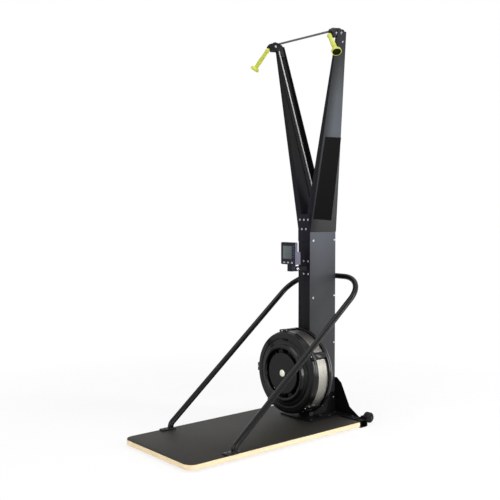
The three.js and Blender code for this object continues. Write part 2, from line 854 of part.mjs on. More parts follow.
function housingGeometry() {
  const half = housing_width / 2;
  const inner = half - housing_wall;
  const cavity_radius = cord_track + cord_radius + running_gap;
  const crown = outline([
    [-nose_brow_reach, nose_brow_rise],
    [-nose_reach, nose_tip_rise],
    [-nose_heel_reach, -nose_heel_drop],
    [housing_back_reach, -nose_heel_drop],
    [housing_back_reach, housing_crown_radius / 2],
    ...arc(housing_crown_radius, Math.PI / 4, 2 * Math.PI * housing_crown_share, bend_steps),
  ]);
  const well_bottom = -nose_heel_drop - cut_overrun;
  const well_front_angle = Math.PI * well_front_share;
  const well = outline([
    [cavity_radius * Math.cos(well_front_angle), well_bottom],
    [housing_back_reach + cut_overrun, well_bottom],
    [housing_back_reach + cut_overrun, 0],
    ...arc(cavity_radius, 0, well_front_angle, 2 * bend_steps),
  ]);
  const { leave, along } = nosePoint();
  const bore_length = nose_reach + cut_overrun;
  const bore = new THREE.CylinderGeometry(exit_hole_radius, exit_hole_radius, bore_length, small_round_sides);
  const bore_middle = leave.clone().addScaledVector(along, bore_length / 2);
  const down_bore = new THREE.Vector3(0, along.x, along.y);
  bore.applyQuaternion(new THREE.Quaternion().setFromUnitVectors(new THREE.Vector3(0, 1, 0), down_bore));
  bore.translate(0, bore_middle.x, bore_middle.y);
  const sheave_case = cut(plate("x", crown, -half, half), plate("x", well, -inner, inner), bore);
  const pin_end = inner + housing_wall / 2;
  const pin = rod("x", 0, 0, -pin_end, pin_end, pulley_pin_radius, small_round_sides);
  const ear_top = crossbar_rise + crossbar_radius + crossbar_ear_margin;
  const foot = plate(
    "x",
    outline([
      [0, -housing_foot_bottom],
      [housing_foot_step, -housing_foot_bottom],
      [housing_foot_step, -housing_foot_drop],
      [housing_foot_length, -housing_foot_drop],
      [housing_foot_length, housing_foot_slope_rise],
      [housing_foot_slope_length, housing_foot_top],
      [crossbar_setback + toe_pivot_gap + crossbar_ear_width / 2, housing_foot_top],
      [crossbar_setback + toe_pivot_gap + crossbar_ear_width / 2, ear_top],
      [crossbar_setback + toe_pivot_gap - crossbar_ear_width / 2, ear_top],
      [crossbar_setback + toe_pivot_gap - crossbar_ear_width / 2, housing_foot_top],
      [0, housing_foot_top],
    ]),
    half - housing_foot_thickness,
    half,
  );
  return join(inHousing(join(sheave_case, pin), 1), onArm(foot, 1));
}

function grooved(radius, flange, width, bore) {
  const half = width / 2;
  const cord_half = cord_radius + 2 * running_gap;
  return [
    [bore, -half],
    [radius + flange, -half],
    [radius + flange, -half + (half - cord_half) / 2],
    [radius, -cord_half / 2],
    [radius, cord_half / 2],
    [radius + flange, half - (half - cord_half) / 2],
    [radius + flange, half],
    [bore, half],
    [bore, -half],
  ];
}

function addTips() {
  const housing = housingGeometry();
  const bore = pulley_pin_radius + running_gap;
  const profile = grooved(top_pulley_radius, top_pulley_flange, top_pulley_width, bore);
  const wheel = turned("x", profile, small_round_sides + bend_steps);
  for (const [name, side] of sides) {
    add(machine, `pulley_housing_${name}`, sided(housing, side), colours.plastic);
    add(machine, `top_pulley_${name}`, inHousing(wheel, side), colours.disc);
  }
  const pivot = pivotPlace();
  const foot_face = housing_width / 2 - housing_foot_thickness;
  const bar_z = pivot.z + crossbar_rise;
  const low_rise = crossbar_rise - crossbar_radius;
  const end_x = pivot.x + foot_face / Math.cos(arm_lean) + low_rise * Math.tan(arm_lean) - seat_gap;
  const bar_y = column_front_y + crossbar_setback;
  const bar = rod("x", bar_y, bar_z, -end_x, end_x, crossbar_radius, small_round_sides);
  add(machine, "crossbar", bar, colours.frame);
}

// The route of the right drive cord from its drum, up the column and the arm and out of the nose.
function localToWorld(x, y, z) {
  const point = new THREE.Vector3(x, y - top_pulley_ahead, z);
  point.applyAxisAngle(new THREE.Vector3(0, 0, 1), toe_angle);
  point.applyAxisAngle(new THREE.Vector3(0, 1, 0), arm_lean);
  return point.add(pivotPlace());
}

// Along the shaft the return spool is the drum's front part on the right and its rear part on the left.
function drumPlace(name) {
  const rear_y = column_rear_y - sheet_thickness - rear_bearing_depth - seat_gap - drum_to_bearing;
  const length = drum_width + spool_width;
  if (name === "left") {
    const cord = rear_y - spool_width - drum_width / 2;
    return { from: rear_y - length, to: rear_y, cord, spool: rear_y - spool_width / 2 };
  }
  const to = rear_y - length - drum_gap;
  return { from: to - length, to, cord: to - drum_width / 2, spool: to - length + spool_width / 2 };
}

function driveRoute(name, side) {
  const { exit, leave_angle } = nosePoint();
  const guide = guideCentre();
  const corner = new THREE.Vector3(guide_cord_x, guide.y, guide.z);
  const drum_y = drumPlace(name).cord;
  const drum_cord_x = drum_core_radius + seat_gap + cord_radius;
  const drum_end = new THREE.Vector3(side * drum_cord_x, drum_y, fan_axis_z);
  const guide_track = guide_pulley_radius + cord_radius + seat_gap;
  const lower = roundedRoute([drum_end, corner, localToWorld(0, cord_track, 0)], [guide_track]);
  const crown = [];
  for (let k = 1; k <= 2 * bend_steps; k++) {
    const angle = (leave_angle * k) / (2 * bend_steps);
    crown.push(localToWorld(0, cord_track * Math.cos(angle), cord_track * Math.sin(angle)));
  }
  return [...lower, ...crown, localToWorld(0, exit.x, exit.y)];
}

function addCords() {
  for (const [name, side] of sides) {
    const cord = tube(driveRoute(name, side), cord_radius, cord_sides);
    add(machine, `drive_cord_${name}`, sided(cord, side), colours.cord);
    const guide = guideCentre();
    const bore = guide_stud_radius + running_gap;
    const profile = grooved(guide_pulley_radius, guide_pulley_flange, guide_pulley_width, bore);
    const wheel = turned("y", profile, small_round_sides);
    const mesh = add(machine, `guide_pulley_${name}`, wheel, colours.disc);
    mesh.position.set(side * guide.x, guide.y, guide.z);
  }
}

// Handles: a lime grip with a round head above and an oval cup below, hanging outwards.
function handleFrame() {
  const down_share = Math.sqrt(1 - handle_outward_share ** 2 - handle_forward_share ** 2);
  const along = new THREE.Vector3(handle_outward_share, -handle_forward_share, -down_share);
  const nose = nosePoint();
  const mouth = localToWorld(0, nose.exit.x, nose.exit.y);
  const hang = nose.exit.clone().addScaledVector(nose.along, handle_standoff);
  const head = localToWorld(0, hang.x, hang.y);
  return { along, mouth, head };
}

function addHandles() {
  const [head_thick, head_rise] = handle_head_shares;
  const grip_profile = [
    [0, -handle_head_radius],
    [handle_radius * head_thick, -handle_head_radius * head_rise],
    ...handle_grip_shares.map(([thick, down]) => [handle_radius * thick, handle_length * down]),
    [0, handle_length],
  ];
  const cup_shape = new THREE.Shape();
  cup_shape.absellipse(0, 0, handle_cup_half_width, handle_cup_half_length, 0, 2 * Math.PI);
  const hollow_shape = new THREE.Shape();
  const inner_width = handle_cup_half_width - handle_cup_wall;
  hollow_shape.absellipse(0, 0, inner_width, handle_cup_half_length - handle_cup_wall, 0, 2 * Math.PI);
  const cup_top = handle_length - handle_cup_wall;
  const cup_end = cup_top + handle_cup_depth;
  const cup = cut(
    plate("z", cup_shape, cup_top, cup_end, small_round_sides / 2),
    plate("z", hollow_shape, cup_top + handle_cup_wall, cup_end + cut_overrun, small_round_sides / 2),
  );
  const grip = turned("z", grip_profile, small_round_sides);
  const { along, mouth, head } = handleFrame();
  const across = new THREE.Vector3(0, 1, 0).projectOnPlane(along).normalize();
  const basis = new THREE.Matrix4().makeBasis(new THREE.Vector3().crossVectors(across, along), across, along);
  basis.setPosition(head);
  const handle = join(grip, cup).applyMatrix4(basis);
  const toward = head.clone().sub(mouth).normalize();
  const tail_start = mouth.clone().addScaledVector(toward, seat_gap);
  const tail_end = head.clone().addScaledVector(toward, -handle_head_radius - seat_gap);
  const tail = tube([tail_start, tail_end], cord_radius, cord_sides);
  for (const [name, side] of sides) {
    add(machine, `handle_${name}`, sided(handle, side), colours.lime);
    add(machine, `handle_cord_${name}`, sided(tail, side), colours.cord);
  }
}

// Fan, in its own group at the tip of the cover's lip, with the axis along Y.
const fan = new THREE.Group();
fan.position.set(0, fan_front_y, fan_axis_z);
machine.add(fan);

function roundTheAxis(geometry, angle) {
  return geometry.clone().rotateY(-angle);
}

function addFanCovers() {
  const spoke_back = spoke_setback + spoke_depth;
  const ring_back = spoke_back + seat_gap + damper_thickness;
  const lip_inner = cover_wall + lip_drop;
  const lip_foot_radius = lip_crest_radius + lip_flank_width;
  const groove_inner = groove_radius - groove_width / 2;
  const groove_outer = groove_radius + groove_width / 2;
  const floor_back = groove_setback + cover_wall;
  const inner_wall = [
    [cover_rim_radius, floor_back],
    [cover_edge_radius - cover_wall, cover_shoulder_setback + cover_wall],
    [cover_radius - cover_wall, cover_wall_setback],
  ];
  const shell = turned(
    "y",
    [
      [inlet_radius, spoke_back],
      [inlet_radius, lip_drop],
      [(inlet_radius + lip_crest_radius) / 2, lip_drop / 4],
      [lip_crest_radius, 0],
      [lip_crest_radius + lip_flank_width / 2, lip_drop / 2],
      [lip_foot_radius, lip_drop * 2],
      [groove_inner, lip_drop * 2],
      [groove_inner, groove_setback],
      [groove_outer, groove_setback],
      [groove_outer + cover_wall / 2, groove_setback - cover_wall],
      [cover_rim_radius, groove_setback - cover_wall / 2],
      [cover_edge_radius, cover_shoulder_setback],
      [cover_radius, cover_wall_setback],
      [cover_radius, cover_back_setback],
      [cover_radius - cover_wall, cover_back_setback],
      ...inner_wall.toReversed(),
      [groove_inner - cover_wall, floor_back],
      [groove_inner - cover_wall, lip_drop * 2 + cover_wall],
      [lip_foot_radius, lip_drop * 2 + cover_wall],
      [lip_crest_radius, cover_wall],
      [inlet_radius + cover_wall, lip_inner],
      [inlet_radius + cover_wall, spoke_back],
      [inlet_radius, spoke_back],
    ],
    fan_sides,
  );
  const inside = turned(
    "y",
    [
      [0, floor_back],
      ...inner_wall,
      [cover_radius - cover_wall, cover_back_setback + cut_overrun],
      [0, cover_back_setback + cut_overrun],
    ],
    fan_sides,
  );
  const spoke_reach = inlet_radius + cover_wall / 2;
  const spoke_half = spoke_width / 2;
  const spoke = block(-spoke_half, spoke_half, spoke_setback + cover_wall, spoke_back, 0, spoke_reach);
  const boss = rod("y", 0, 0, spoke_setback, ring_back, hub_boss_radius);
  const lug_rise = rear_rim_radius - cover_radius;
  const lug_half = lug_base_width / 2;
  const lug_base = block(
    -lug_half,
    lug_half,
    lug_base_setback,
    cover_back_setback,
    cover_radius - lug_rise,
    rear_rim_radius,
  );
  const post_end = cover_back_setback + seat_gap + band_width;
  const round_the_band = cover_radius / Math.cos(Math.PI / fan_sides);
  const band_space = rod("y", 0, 0, cover_back_setback, post_end + cut_overrun, round_the_band, fan_sides);
  const rib = cut(
    rod("y", 0, cover_radius, lug_base_setback, post_end, lug_radius, small_round_sides),
    band_space,
  );
  const lugs = [];
  for (const degrees of lug_angles_deg) {
    const angle = THREE.MathUtils.degToRad(degrees);
    lugs.push(roundTheAxis(rib, angle), roundTheAxis(lug_base, angle));
  }
  const spokes = [];
  for (let i = 0; i < spokes_count; i++) {
    spokes.push(roundTheAxis(spoke, (2 * Math.PI * (i + 0.5)) / spokes_count));
  }
  const bore_start = spoke_setback + cover_wall;
  const shaft_bore = rod("y", 0, 0, bore_start, ring_back + cut_overrun, shaft_radius + running_gap);
  const slot_angle = 2 * Math.PI * damper_travel_share + damper_tab_width / 2 / groove_inner;
  const slot_outline = outline([
    ...arc(groove_outer - running_gap, Math.PI / 2 - slot_angle, Math.PI / 2 + slot_angle, bend_steps),
    ...arc(groove_inner + running_gap, Math.PI / 2 + slot_angle, Math.PI / 2 - slot_angle, bend_steps),
  ]);
  const slot = plate("y", slot_outline, groove_setback - cut_overrun, floor_back + cut_overrun);
  const cover = cut(join(cut(join(...lugs), inside), shell, boss, ...spokes), shaft_bore, slot);
  add(fan, "fan_front_cover", cover, colours.plastic);

  const rim_front = cover_back_setback + seat_gap + band_width + seat_gap;
  const back = column_front_y - seat_gap - fan_front_y;
  const rear_profile = [
    [shaft_hole_radius, back - cover_wall],
    [rear_back_radius - cover_wall, back - cover_wall],
    [rear_rim_inner_radius, rim_front + rear_rim_width - cover_wall],
    [rear_rim_inner_radius, rim_front],
    [rear_rim_radius, rim_front],
    [rear_rim_radius, rim_front + rear_rim_width],
    [rear_back_radius, back],
    [shaft_hole_radius, back],
    [shaft_hole_radius, back - cover_wall],
  ];
  add(fan, "fan_rear_cover", turned("y", rear_profile, fan_sides), colours.plastic);
}

// Perforated band: a thin ring with rows of slots, laid out as a grid of ribs and openings.
function addBand() {
  const columns = 2 * band_posts;
  const rows = 2 * band_rows + 1;
  const inner = cover_radius - band_thickness - seat_gap;
  const start = cover_back_setback + seat_gap;
  const step = (2 * Math.PI) / band_posts;
  const rib_height = (band_width * band_rib_share) / (band_rows + 1);
  const slot_height = (band_width * (1 - band_rib_share)) / band_rows;
  const edges = [0];
  for (let j = 0; j < rows; j++) edges.push(edges[j] + (j % 2 ? slot_height : rib_height));
  const corner = (i, j, outer) => {
    const angle = Math.floor(i / 2) * step + (i % 2 ? step * band_rib_share : 0);
    const radius = inner + (outer ? band_thickness : 0);
    return [radius * Math.sin(angle), start + edges[j], radius * Math.cos(angle)];
  };
  const open = (i, j) => j < 0 || j >= rows || (((i % columns) + columns) % 2 === 1 && j % 2 === 1);
  const positions = [];
  const quad = (a, b, c, d) => positions.push(...a, ...b, ...c, ...a, ...c, ...d);
  const edge = (a, b) =>
    quad(corner(...a, false), corner(...b, false), corner(...b, true), corner(...a, true));
  for (let i = 0; i < columns; i++) {
    for (let j = 0; j < rows; j++) {
      if (open(i, j)) continue;
      const k = i + 1 === columns ? 0 : i + 1;
      quad(corner(i, j, true), corner(k, j, true), corner(k, j + 1, true), corner(i, j + 1, true));
      quad(corner(i, j, false), corner(i, j + 1, false), corner(k, j + 1, false), corner(k, j, false));
      if (open(i, j - 1)) edge([i, j], [k, j]);
      if (open(i, j + 1)) edge([k, j + 1], [i, j + 1]);
      if (open(i - 1, j)) edge([i, j + 1], [i, j]);
      if (open(i + 1, j)) edge([k, j], [k, j + 1]);
    }
  }
  const geometry = new THREE.BufferGeometry();
  geometry.setAttribute("position", new THREE.Float32BufferAttribute(positions, 3));
  geometry.computeVertexNormals();
  add(fan, "fan_mesh_band", geometry, colours.mesh);
}

function addRotor() {
  const disc_front = rotor_back_setback - rotor_disc_thickness;
  const pieces = [
    rod("y", 0, 0, rotor_front_setback, rotor_back_setback, rotor_hub_radius),
    rod("y", 0, 0, disc_front, rotor_back_setback, rotor_radius),
  ];
  const blade = block(
    -blade_thickness / 2,
    blade_thickness / 2,
    rotor_front_setback + blade_clear_of_hub,
    disc_front + rotor_disc_thickness / 2,
    blade_inner_radius,
    rotor_radius - blade_thickness,
  );
  for (let i = 0; i < rotor_blades; i++) {
    pieces.push(roundTheAxis(blade, (2 * Math.PI * i) / rotor_blades));
  }
  const bore_end = rotor_back_setback + cut_overrun;
  const bore = rod("y", 0, 0, rotor_front_setback - cut_overrun, bore_end, shaft_radius + seat_gap);
  add(fan, "fan_rotor", cut(join(...pieces), bore), colours.disc);

  const shaft_end = column_rear_y - sheet_thickness - rear_bearing_depth / 2 - fan_front_y;
  const shaft_start = spoke_setback + cover_wall + seat_gap;
  const shaft = rod("y", 0, 0, shaft_start, shaft_end, shaft_radius, small_round_sides);
  add(fan, "fan_shaft", shaft, colours.steel);
}

function addFanFront() {
  const back = spoke_setback - seat_gap;
  const front = back - front_disc_thickness;
  const disc = turned("y", [
    [0, front],
    [front_disc_radius - front_disc_thickness / 2, front],
    [front_disc_radius, front + front_disc_thickness / 2],
    [front_disc_radius, back],
    [0, back],
  ]);
  add(fan, "fan_front_disc", disc, colours.disc);
  const cap_back = front - seat_gap;
  const cap = turned("y", [
    [0, cap_back - hub_cap_height],
    [hub_cap_radius * hub_cap_top_share, cap_back - hub_cap_height],
    [hub_cap_radius, cap_back - hub_cap_height / 2],
    [hub_cap_radius, cap_back],
    [0, cap_back],
  ], small_round_sides);
  add(fan, "hub_cap", cap, colours.cap);

  const ring_front = spoke_setback + spoke_depth + seat_gap;
  const ring_back = ring_front + damper_thickness;
  const full_turn = 2 * Math.PI;
  const ring_shape = outline(arc(damper_outer_radius, 0, full_turn, fan_sides).slice(1));
  const boss_hole = arc(hub_boss_radius + running_gap, full_turn, 0, round_sides).slice(1);
  ring_shape.holes.push(hole(boss_hole));
  for (let i = 0; i < damper_windows; i++) {
    const middle = (Math.PI * (2 * i + 1)) / damper_windows;
    const half_angle = (Math.PI * damper_open_share) / damper_windows;
    const outer_edge = arc(damper_window_outer, middle + half_angle, middle - half_angle, window_steps);
    const inner_edge = arc(damper_window_inner, middle - half_angle, middle + half_angle, window_steps);
    ring_shape.holes.push(hole([...outer_edge, ...inner_edge]));
  }
  const tab_half = damper_tab_width / 2;
  const tab_bottom = groove_radius - damper_tab_height / 2;
  const tab_top = groove_radius + damper_tab_height / 2 - tab_half ** 2 / groove_radius / 2;
  const tab_front = groove_setback - damper_tab_proud;
  const tab = block(-tab_half, tab_half, tab_front, ring_front + damper_thickness / 2, tab_bottom, tab_top);
  add(fan, "damper_ring", join(plate("y", ring_shape, ring_front, ring_back), tab), colours.plastic);
}

// Drums that take the cords, each with a spool for one end of the elastic cord, and a rear bearing.
function addDrive() {
  const bore = shaft_radius + running_gap;
  const rim = drum_core_radius + drum_flange;
  const half = drum_flange_thickness / 2;
  const length = drum_width + spool_width;
  const divide = drum_width;
  const profile = [
    [bore, 0],
    [rim, 0],
    [rim, drum_flange_thickness],
    [drum_core_radius, drum_flange_thickness],
    [drum_core_radius, divide - half],
    [rim, divide - half],
    [rim, divide + half],
    [drum_core_radius, divide + half],
    [drum_core_radius, length - half],
    [rim, length - half],
    [rim, length],
    [bore, length],
    [bore, 0],
  ];
  for (const [name, side] of sides) {
    const along = side < 0 ? profile : profile.map(([radius, y]) => [radius, length - y]);
    const drum = turned("y", along, small_round_sides);
    const mesh = add(machine, `drive_drum_${name}`, drum, colours.steel);
    mesh.position.set(0, drumPlace(name).from, fan_axis_z);
  }
  const box_half = rear_bearing_size / 2;
  const rear_y = column_rear_y - sheet_thickness - seat_gap;
  const front_y = rear_y - rear_bearing_depth;
  const housing = block(-box_half, box_half, front_y, rear_y, fan_axis_z - box_half, fan_axis_z + box_half);
  const seat_end = rear_y - rear_bearing_depth / 4;
  const seat = rod("y", 0, fan_axis_z, front_y - cut_overrun, seat_end, shaft_radius + seat_gap);
  add(machine, "rear_bearing", cut(housing, seat), colours.steel);

  const { x, bend } = bungeePlace();
  const [rear_leg, front_leg] = [drumPlace("left").spool, drumPlace("right").spool];
  const route = roundedRoute(
    [
      new THREE.Vector3(x, front_leg, fan_axis_z),
      new THREE.Vector3(x, front_leg, bungee_top_z),
      new THREE.Vector3(x, rear_leg, bungee_top_z),
      new THREE.Vector3(x, rear_leg, fan_axis_z),
    ],
    [bend - bend_slack, bend - bend_slack],
  );
  add(machine, "return_bungee", tube(route, bungee_radius, cord_sides), colours.rubber);
}

// Guard rail: one bent tube from foot to foot, passing behind the column.
function addRail() {
  const bar_y = column_rear_y + rail_radius + seat_gap;
  const flange_top = base_bottom_z + rail_flange_thickness;
  const start_z = base_bottom_z + rail_flange_thickness / 2;
  const corners = (z) => [
    new THREE.Vector3(-rail_half_width, rail_foot_y, z),
    new THREE.Vector3(-rail_half_width, rail_foot_y, rail_knee_z),
    new THREE.Vector3(-rail_half_width, bar_y, rail_bar_z),
    new THREE.Vector3(rail_half_width, bar_y, rail_bar_z),
    new THREE.Vector3(rail_half_width, rail_foot_y, rail_knee_z),
    new THREE.Vector3(rail_half_width, rail_foot_y, z),
  ];
  const radii = [rail_knee_radius, rail_bend_radius, rail_bend_radius, rail_knee_radius];
  const pipe = tube(roundedRoute(corners(start_z), radii, rail_bend_steps), rail_radius, rail_sides);
  const bore_route = roundedRoute(corners(base_bottom_z - cut_overrun), radii, rail_bend_steps);
  const bore = tube(bore_route, rail_radius - rail_wall, rail_sides / 2);
  const half = rail_flange_width / 2;
  const flange = (side) => {
    const shape = roundedRectangle(
      side * rail_half_width - half,
      side * rail_half_width + half,
      rail_foot_y + rail_flange_behind - rail_flange_length,
      rail_foot_y + rail_flange_behind,
      rail_flange_thickness,
    );
    return plate("z", shape, base_bottom_z, flange_top, corner_steps);
  };
  add(machine, "guard_rail", cut(join(pipe, flange(-1), flange(1)), bore), colours.frame);
}

// Monitor on a tilting lug, carried by a two-eared bracket on the column's front.
function addMonitorBracket() {
  const ear_inner = lug_block_width / 2 + seat_gap + running_gap;
  const ear_outer = ear_inner + bracket_plate;
  const face_y = column_front_y - seat_gap;
  const ear = new THREE.Shape();
  const ear_top_z = pivot_z + lug_block_end_radius;
  const ear_bottom_z = pivot_z - lug_block_end_radius;
  ear.absarc(pivot_y, pivot_z, lug_block_end_radius, Math.PI / 2, Math.PI * 1.5);
  ear.lineTo(face_y, ear_bottom_z);
  ear.lineTo(face_y, ear_top_z);
  const web_front = pivot_y + lug_block_end_radius + bracket_web_clearance;
  const web_top_z = ear_bottom_z + bracket_plate;
  const flange_half = bracket_flange_width / 2;
  const flange = roundedRectangle(
    monitor_x - flange_half,
    Math.min(monitor_x + flange_half, column_half - bracket_plate),
    bracket_flange_bottom_z,
    bracket_flange_top_z,
    bracket_plate,
  );
  const bracket = join(
    plate("x", ear, monitor_x - ear_outer, monitor_x - ear_inner, 2 * corner_steps),
    plate("x", ear, monitor_x + ear_inner, monitor_x + ear_outer, 2 * corner_steps),
    block(monitor_x - ear_outer, monitor_x + ear_outer, web_front, face_y, ear_bottom_z, web_top_z),
    plate("y", flange, face_y - bracket_plate, face_y, corner_steps),
    rod("x", pivot_y, pivot_z, monitor_x - ear_outer, monitor_x + ear_outer, pivot_radius, small_round_sides),
  );
  add(machine, "monitor_bracket", bracket, colours.frame);
}

const monitor = new THREE.Group();
monitor.position.set(monitor_x, pivot_y, pivot_z);
machine.add(monitor);

const face_y = monitor_front_y - pivot_y;
const face_bottom = monitor_bottom_z - pivot_z;
const face_top = face_bottom + monitor_height;
const face_half = monitor_width / 2;
const screen_left = -face_half + screen_left_margin;
const screen_top = face_top - screen_top_margin;

function buttonPlaces() {
  const under_z = face_bottom + under_button_rise;
  const side_x = face_half - side_button_inset;
  const side_z = screen_top - side_button_height / 2;
  const places = [-1, 0, 1].map((k, i) => ({
    name: `button_under_${i + 1}`,
    x: k * under_button_spacing,
    z: under_z,
    width: under_button_width,
    height: under_button_height,
  }));
  for (let i = 0; i < side_buttons; i++) {
    places.push({
      name: `button_side_${i + 1}`,
      x: side_x,
      z: side_z - i * side_button_spacing,
      width: side_button_width,
      height: side_button_height,
    });
  }
  return places;
}

function addMonitor() {
  const body = (inset) =>
    roundedRectangle(
      -face_half + inset,
      face_half - inset,
      face_bottom + inset,
      face_top - inset,
      monitor_corner_radius - inset,
    );
  const front_back = face_y + monitor_front_depth;
  const [cut_front, cut_back] = [face_y - cut_overrun, face_y + monitor_wall + cut_overrun];
  const window = block(
    screen_left,
    screen_left + screen_width,
    cut_front,
    cut_back,
    screen_top - screen_height,
    screen_top,
  );
  const holes = buttonPlaces().map(({ x, z, width, height }) => {
    const [half_width, half_height] = [width / 2 + seat_gap, height / 2 + seat_gap];
    return block(x - half_width, x + half_width, cut_front, cut_back, z - half_height, z + half_height);
  });
  const front = cut(
    plate("y", body(0), face_y, front_back, corner_steps),
    plate("y", body(monitor_wall), face_y + monitor_wall, front_back + cut_overrun, corner_steps),
    window,
    ...holes,
  );
  add(monitor, "monitor_front", front, colours.plastic);

  const lens = block(
    screen_left + seat_gap,
    screen_left + screen_width - seat_gap,
    face_y + screen_recess,
    face_y + monitor_wall,
    screen_top - screen_height + seat_gap,
    screen_top - seat_gap,
  );
  add(monitor, "monitor_lens", lens, colours.screen);

  const back_front = front_back + seat_gap;
  const back_rear = back_front + monitor_back_depth;
  const box_half = battery_box_width / 2;
  const box_rear = back_rear + battery_box_depth;
  const battery_top = face_bottom + battery_box_height;
  const lug = new THREE.Shape();
  lug.moveTo(-lug_block_front, face_bottom + monitor_wall);
  lug.lineTo(-lug_block_front, -lug_block_end_radius);
  lug.absarc(0, 0, lug_block_end_radius, -Math.PI / 2, Math.PI / 2);
  lug.lineTo(box_rear, lug_block_end_radius);
  lug.lineTo(box_rear - monitor_wall, face_bottom + monitor_wall);
  const lug_half = lug_block_width / 2;
  const lug_limit = block(
    -lug_half - cut_overrun,
    lug_half + cut_overrun,
    face_y - lug_block_front,
    back_front,
    -monitor_height,
    face_top,
  );
  const lug_solid = cut(plate("x", lug, -lug_half, lug_half, 2 * corner_steps), lug_limit);
  const shell = join(
    plate("y", body(0), back_front, back_rear, corner_steps),
    block(-box_half, box_half, back_rear - monitor_wall, box_rear, face_bottom, battery_top),
    lug_solid,
  );
  const hollow_rear = back_rear - monitor_wall;
  const hollow = plate("y", body(monitor_wall), back_front - cut_overrun, hollow_rear, corner_steps);
  const battery_bay = block(
    -box_half + monitor_wall,
    box_half - monitor_wall,
    back_front,
    box_rear - monitor_wall,
    face_bottom + monitor_wall,
    battery_top - monitor_wall,
  );
  const hole_radius = pivot_radius + running_gap;
  const pin_hole = rod("x", 0, 0, -lug_block_width, lug_block_width, hole_radius, small_round_sides);
  add(monitor, "monitor_back", cut(shell, hollow, battery_bay, pin_hole), colours.disc);

  for (const { name, x, z, width, height } of buttonPlaces()) {
    const skirt_y = face_y + monitor_wall + seat_gap;
    const cap = block(
      x - width / 2,
      x + width / 2,
      face_y - button_proud,
      skirt_y + button_skirt_depth / 2,
      z - height / 2,
      z + height / 2,
    );
    const skirt = block(
      x - width / 2 - button_skirt,
      x + width / 2 + button_skirt,
      skirt_y,
      skirt_y + button_skirt_depth,
      z - height / 2 - button_skirt,
      z + height / 2 + button_skirt,
    );
    add(monitor, name, join(cap, skirt), colours.button);
  }
}

addPlatform();
addCrossMember();
addTransportWheels();
addFoot();
addColumn();
addArms();
addTips();
addCords();
addHandles();
addFanCovers();
addBand();
addRotor();
addFanFront();
addDrive();
addRail();
addMonitorBracket();
addMonitor();

export default machine;
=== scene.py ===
import json
import math

import bmesh
import bpy
from mathutils import Matrix, Vector


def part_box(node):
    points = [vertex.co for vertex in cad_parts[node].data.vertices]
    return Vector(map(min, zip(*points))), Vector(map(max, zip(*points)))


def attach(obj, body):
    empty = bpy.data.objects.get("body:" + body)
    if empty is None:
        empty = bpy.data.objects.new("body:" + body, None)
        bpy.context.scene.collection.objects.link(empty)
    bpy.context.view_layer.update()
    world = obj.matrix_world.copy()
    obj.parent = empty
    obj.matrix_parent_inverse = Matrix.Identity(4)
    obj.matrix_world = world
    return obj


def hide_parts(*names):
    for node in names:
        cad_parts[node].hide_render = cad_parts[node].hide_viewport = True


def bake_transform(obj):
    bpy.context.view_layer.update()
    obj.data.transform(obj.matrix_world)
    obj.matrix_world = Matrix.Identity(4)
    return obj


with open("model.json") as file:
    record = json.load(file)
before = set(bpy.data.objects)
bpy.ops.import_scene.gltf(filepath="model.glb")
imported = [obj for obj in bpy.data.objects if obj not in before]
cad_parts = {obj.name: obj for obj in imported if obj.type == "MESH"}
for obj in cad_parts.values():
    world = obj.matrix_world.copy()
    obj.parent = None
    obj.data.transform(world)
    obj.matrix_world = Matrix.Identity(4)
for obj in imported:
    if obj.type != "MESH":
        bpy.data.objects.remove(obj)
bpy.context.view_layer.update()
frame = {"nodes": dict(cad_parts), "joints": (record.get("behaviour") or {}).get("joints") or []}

# The studio: a white floor and white surroundings. One tall soft box stands behind on the right, a
# narrower one at the right is mirrored in rail and fan, one hangs overhead and one stands in front.
# The camera is where the photograph was taken from.
scene = bpy.context.scene
scene.view_settings.view_transform = "Standard"

camera_data = bpy.data.cameras.new("camera")
camera_data.sensor_width = 36
camera_data.lens = 55.4
camera = bpy.data.objects.new("camera", camera_data)
camera.location = (3.206, -2.741, 1.224)
camera.rotation_euler = (math.radians(87.3), 0, math.radians(49.87))
scene.collection.objects.link(camera)
scene.camera = camera


def soft_box(name, place, target, size, power):
    data = bpy.data.lights.new(name, "AREA")
    data.shape = "RECTANGLE"
    data.size, data.size_y = size
    data.energy = power
    lamp = bpy.data.objects.new(name, data)
    lamp.location = place
    lamp.rotation_euler = (Vector(target) - Vector(place)).to_track_quat("-Z", "Y").to_euler()
    scene.collection.objects.link(lamp)


soft_box("box_right_back", (2.7, 2.4, 1.95), (0, 0.3, 1.2), (0.5, 3.4), 80)
soft_box("box_right", (3.7, -0.35, 0.72), (0, 0.2, 0.4), (0.42, 1.4), 46)
soft_box("box_overhead", (0.2, -0.2, 4.6), (0, 0, 0), (2.6, 2.6), 62)
soft_box("box_front", (0.2, -4.6, 2.2), (0, 0, 0.9), (2.4, 2.4), 90)


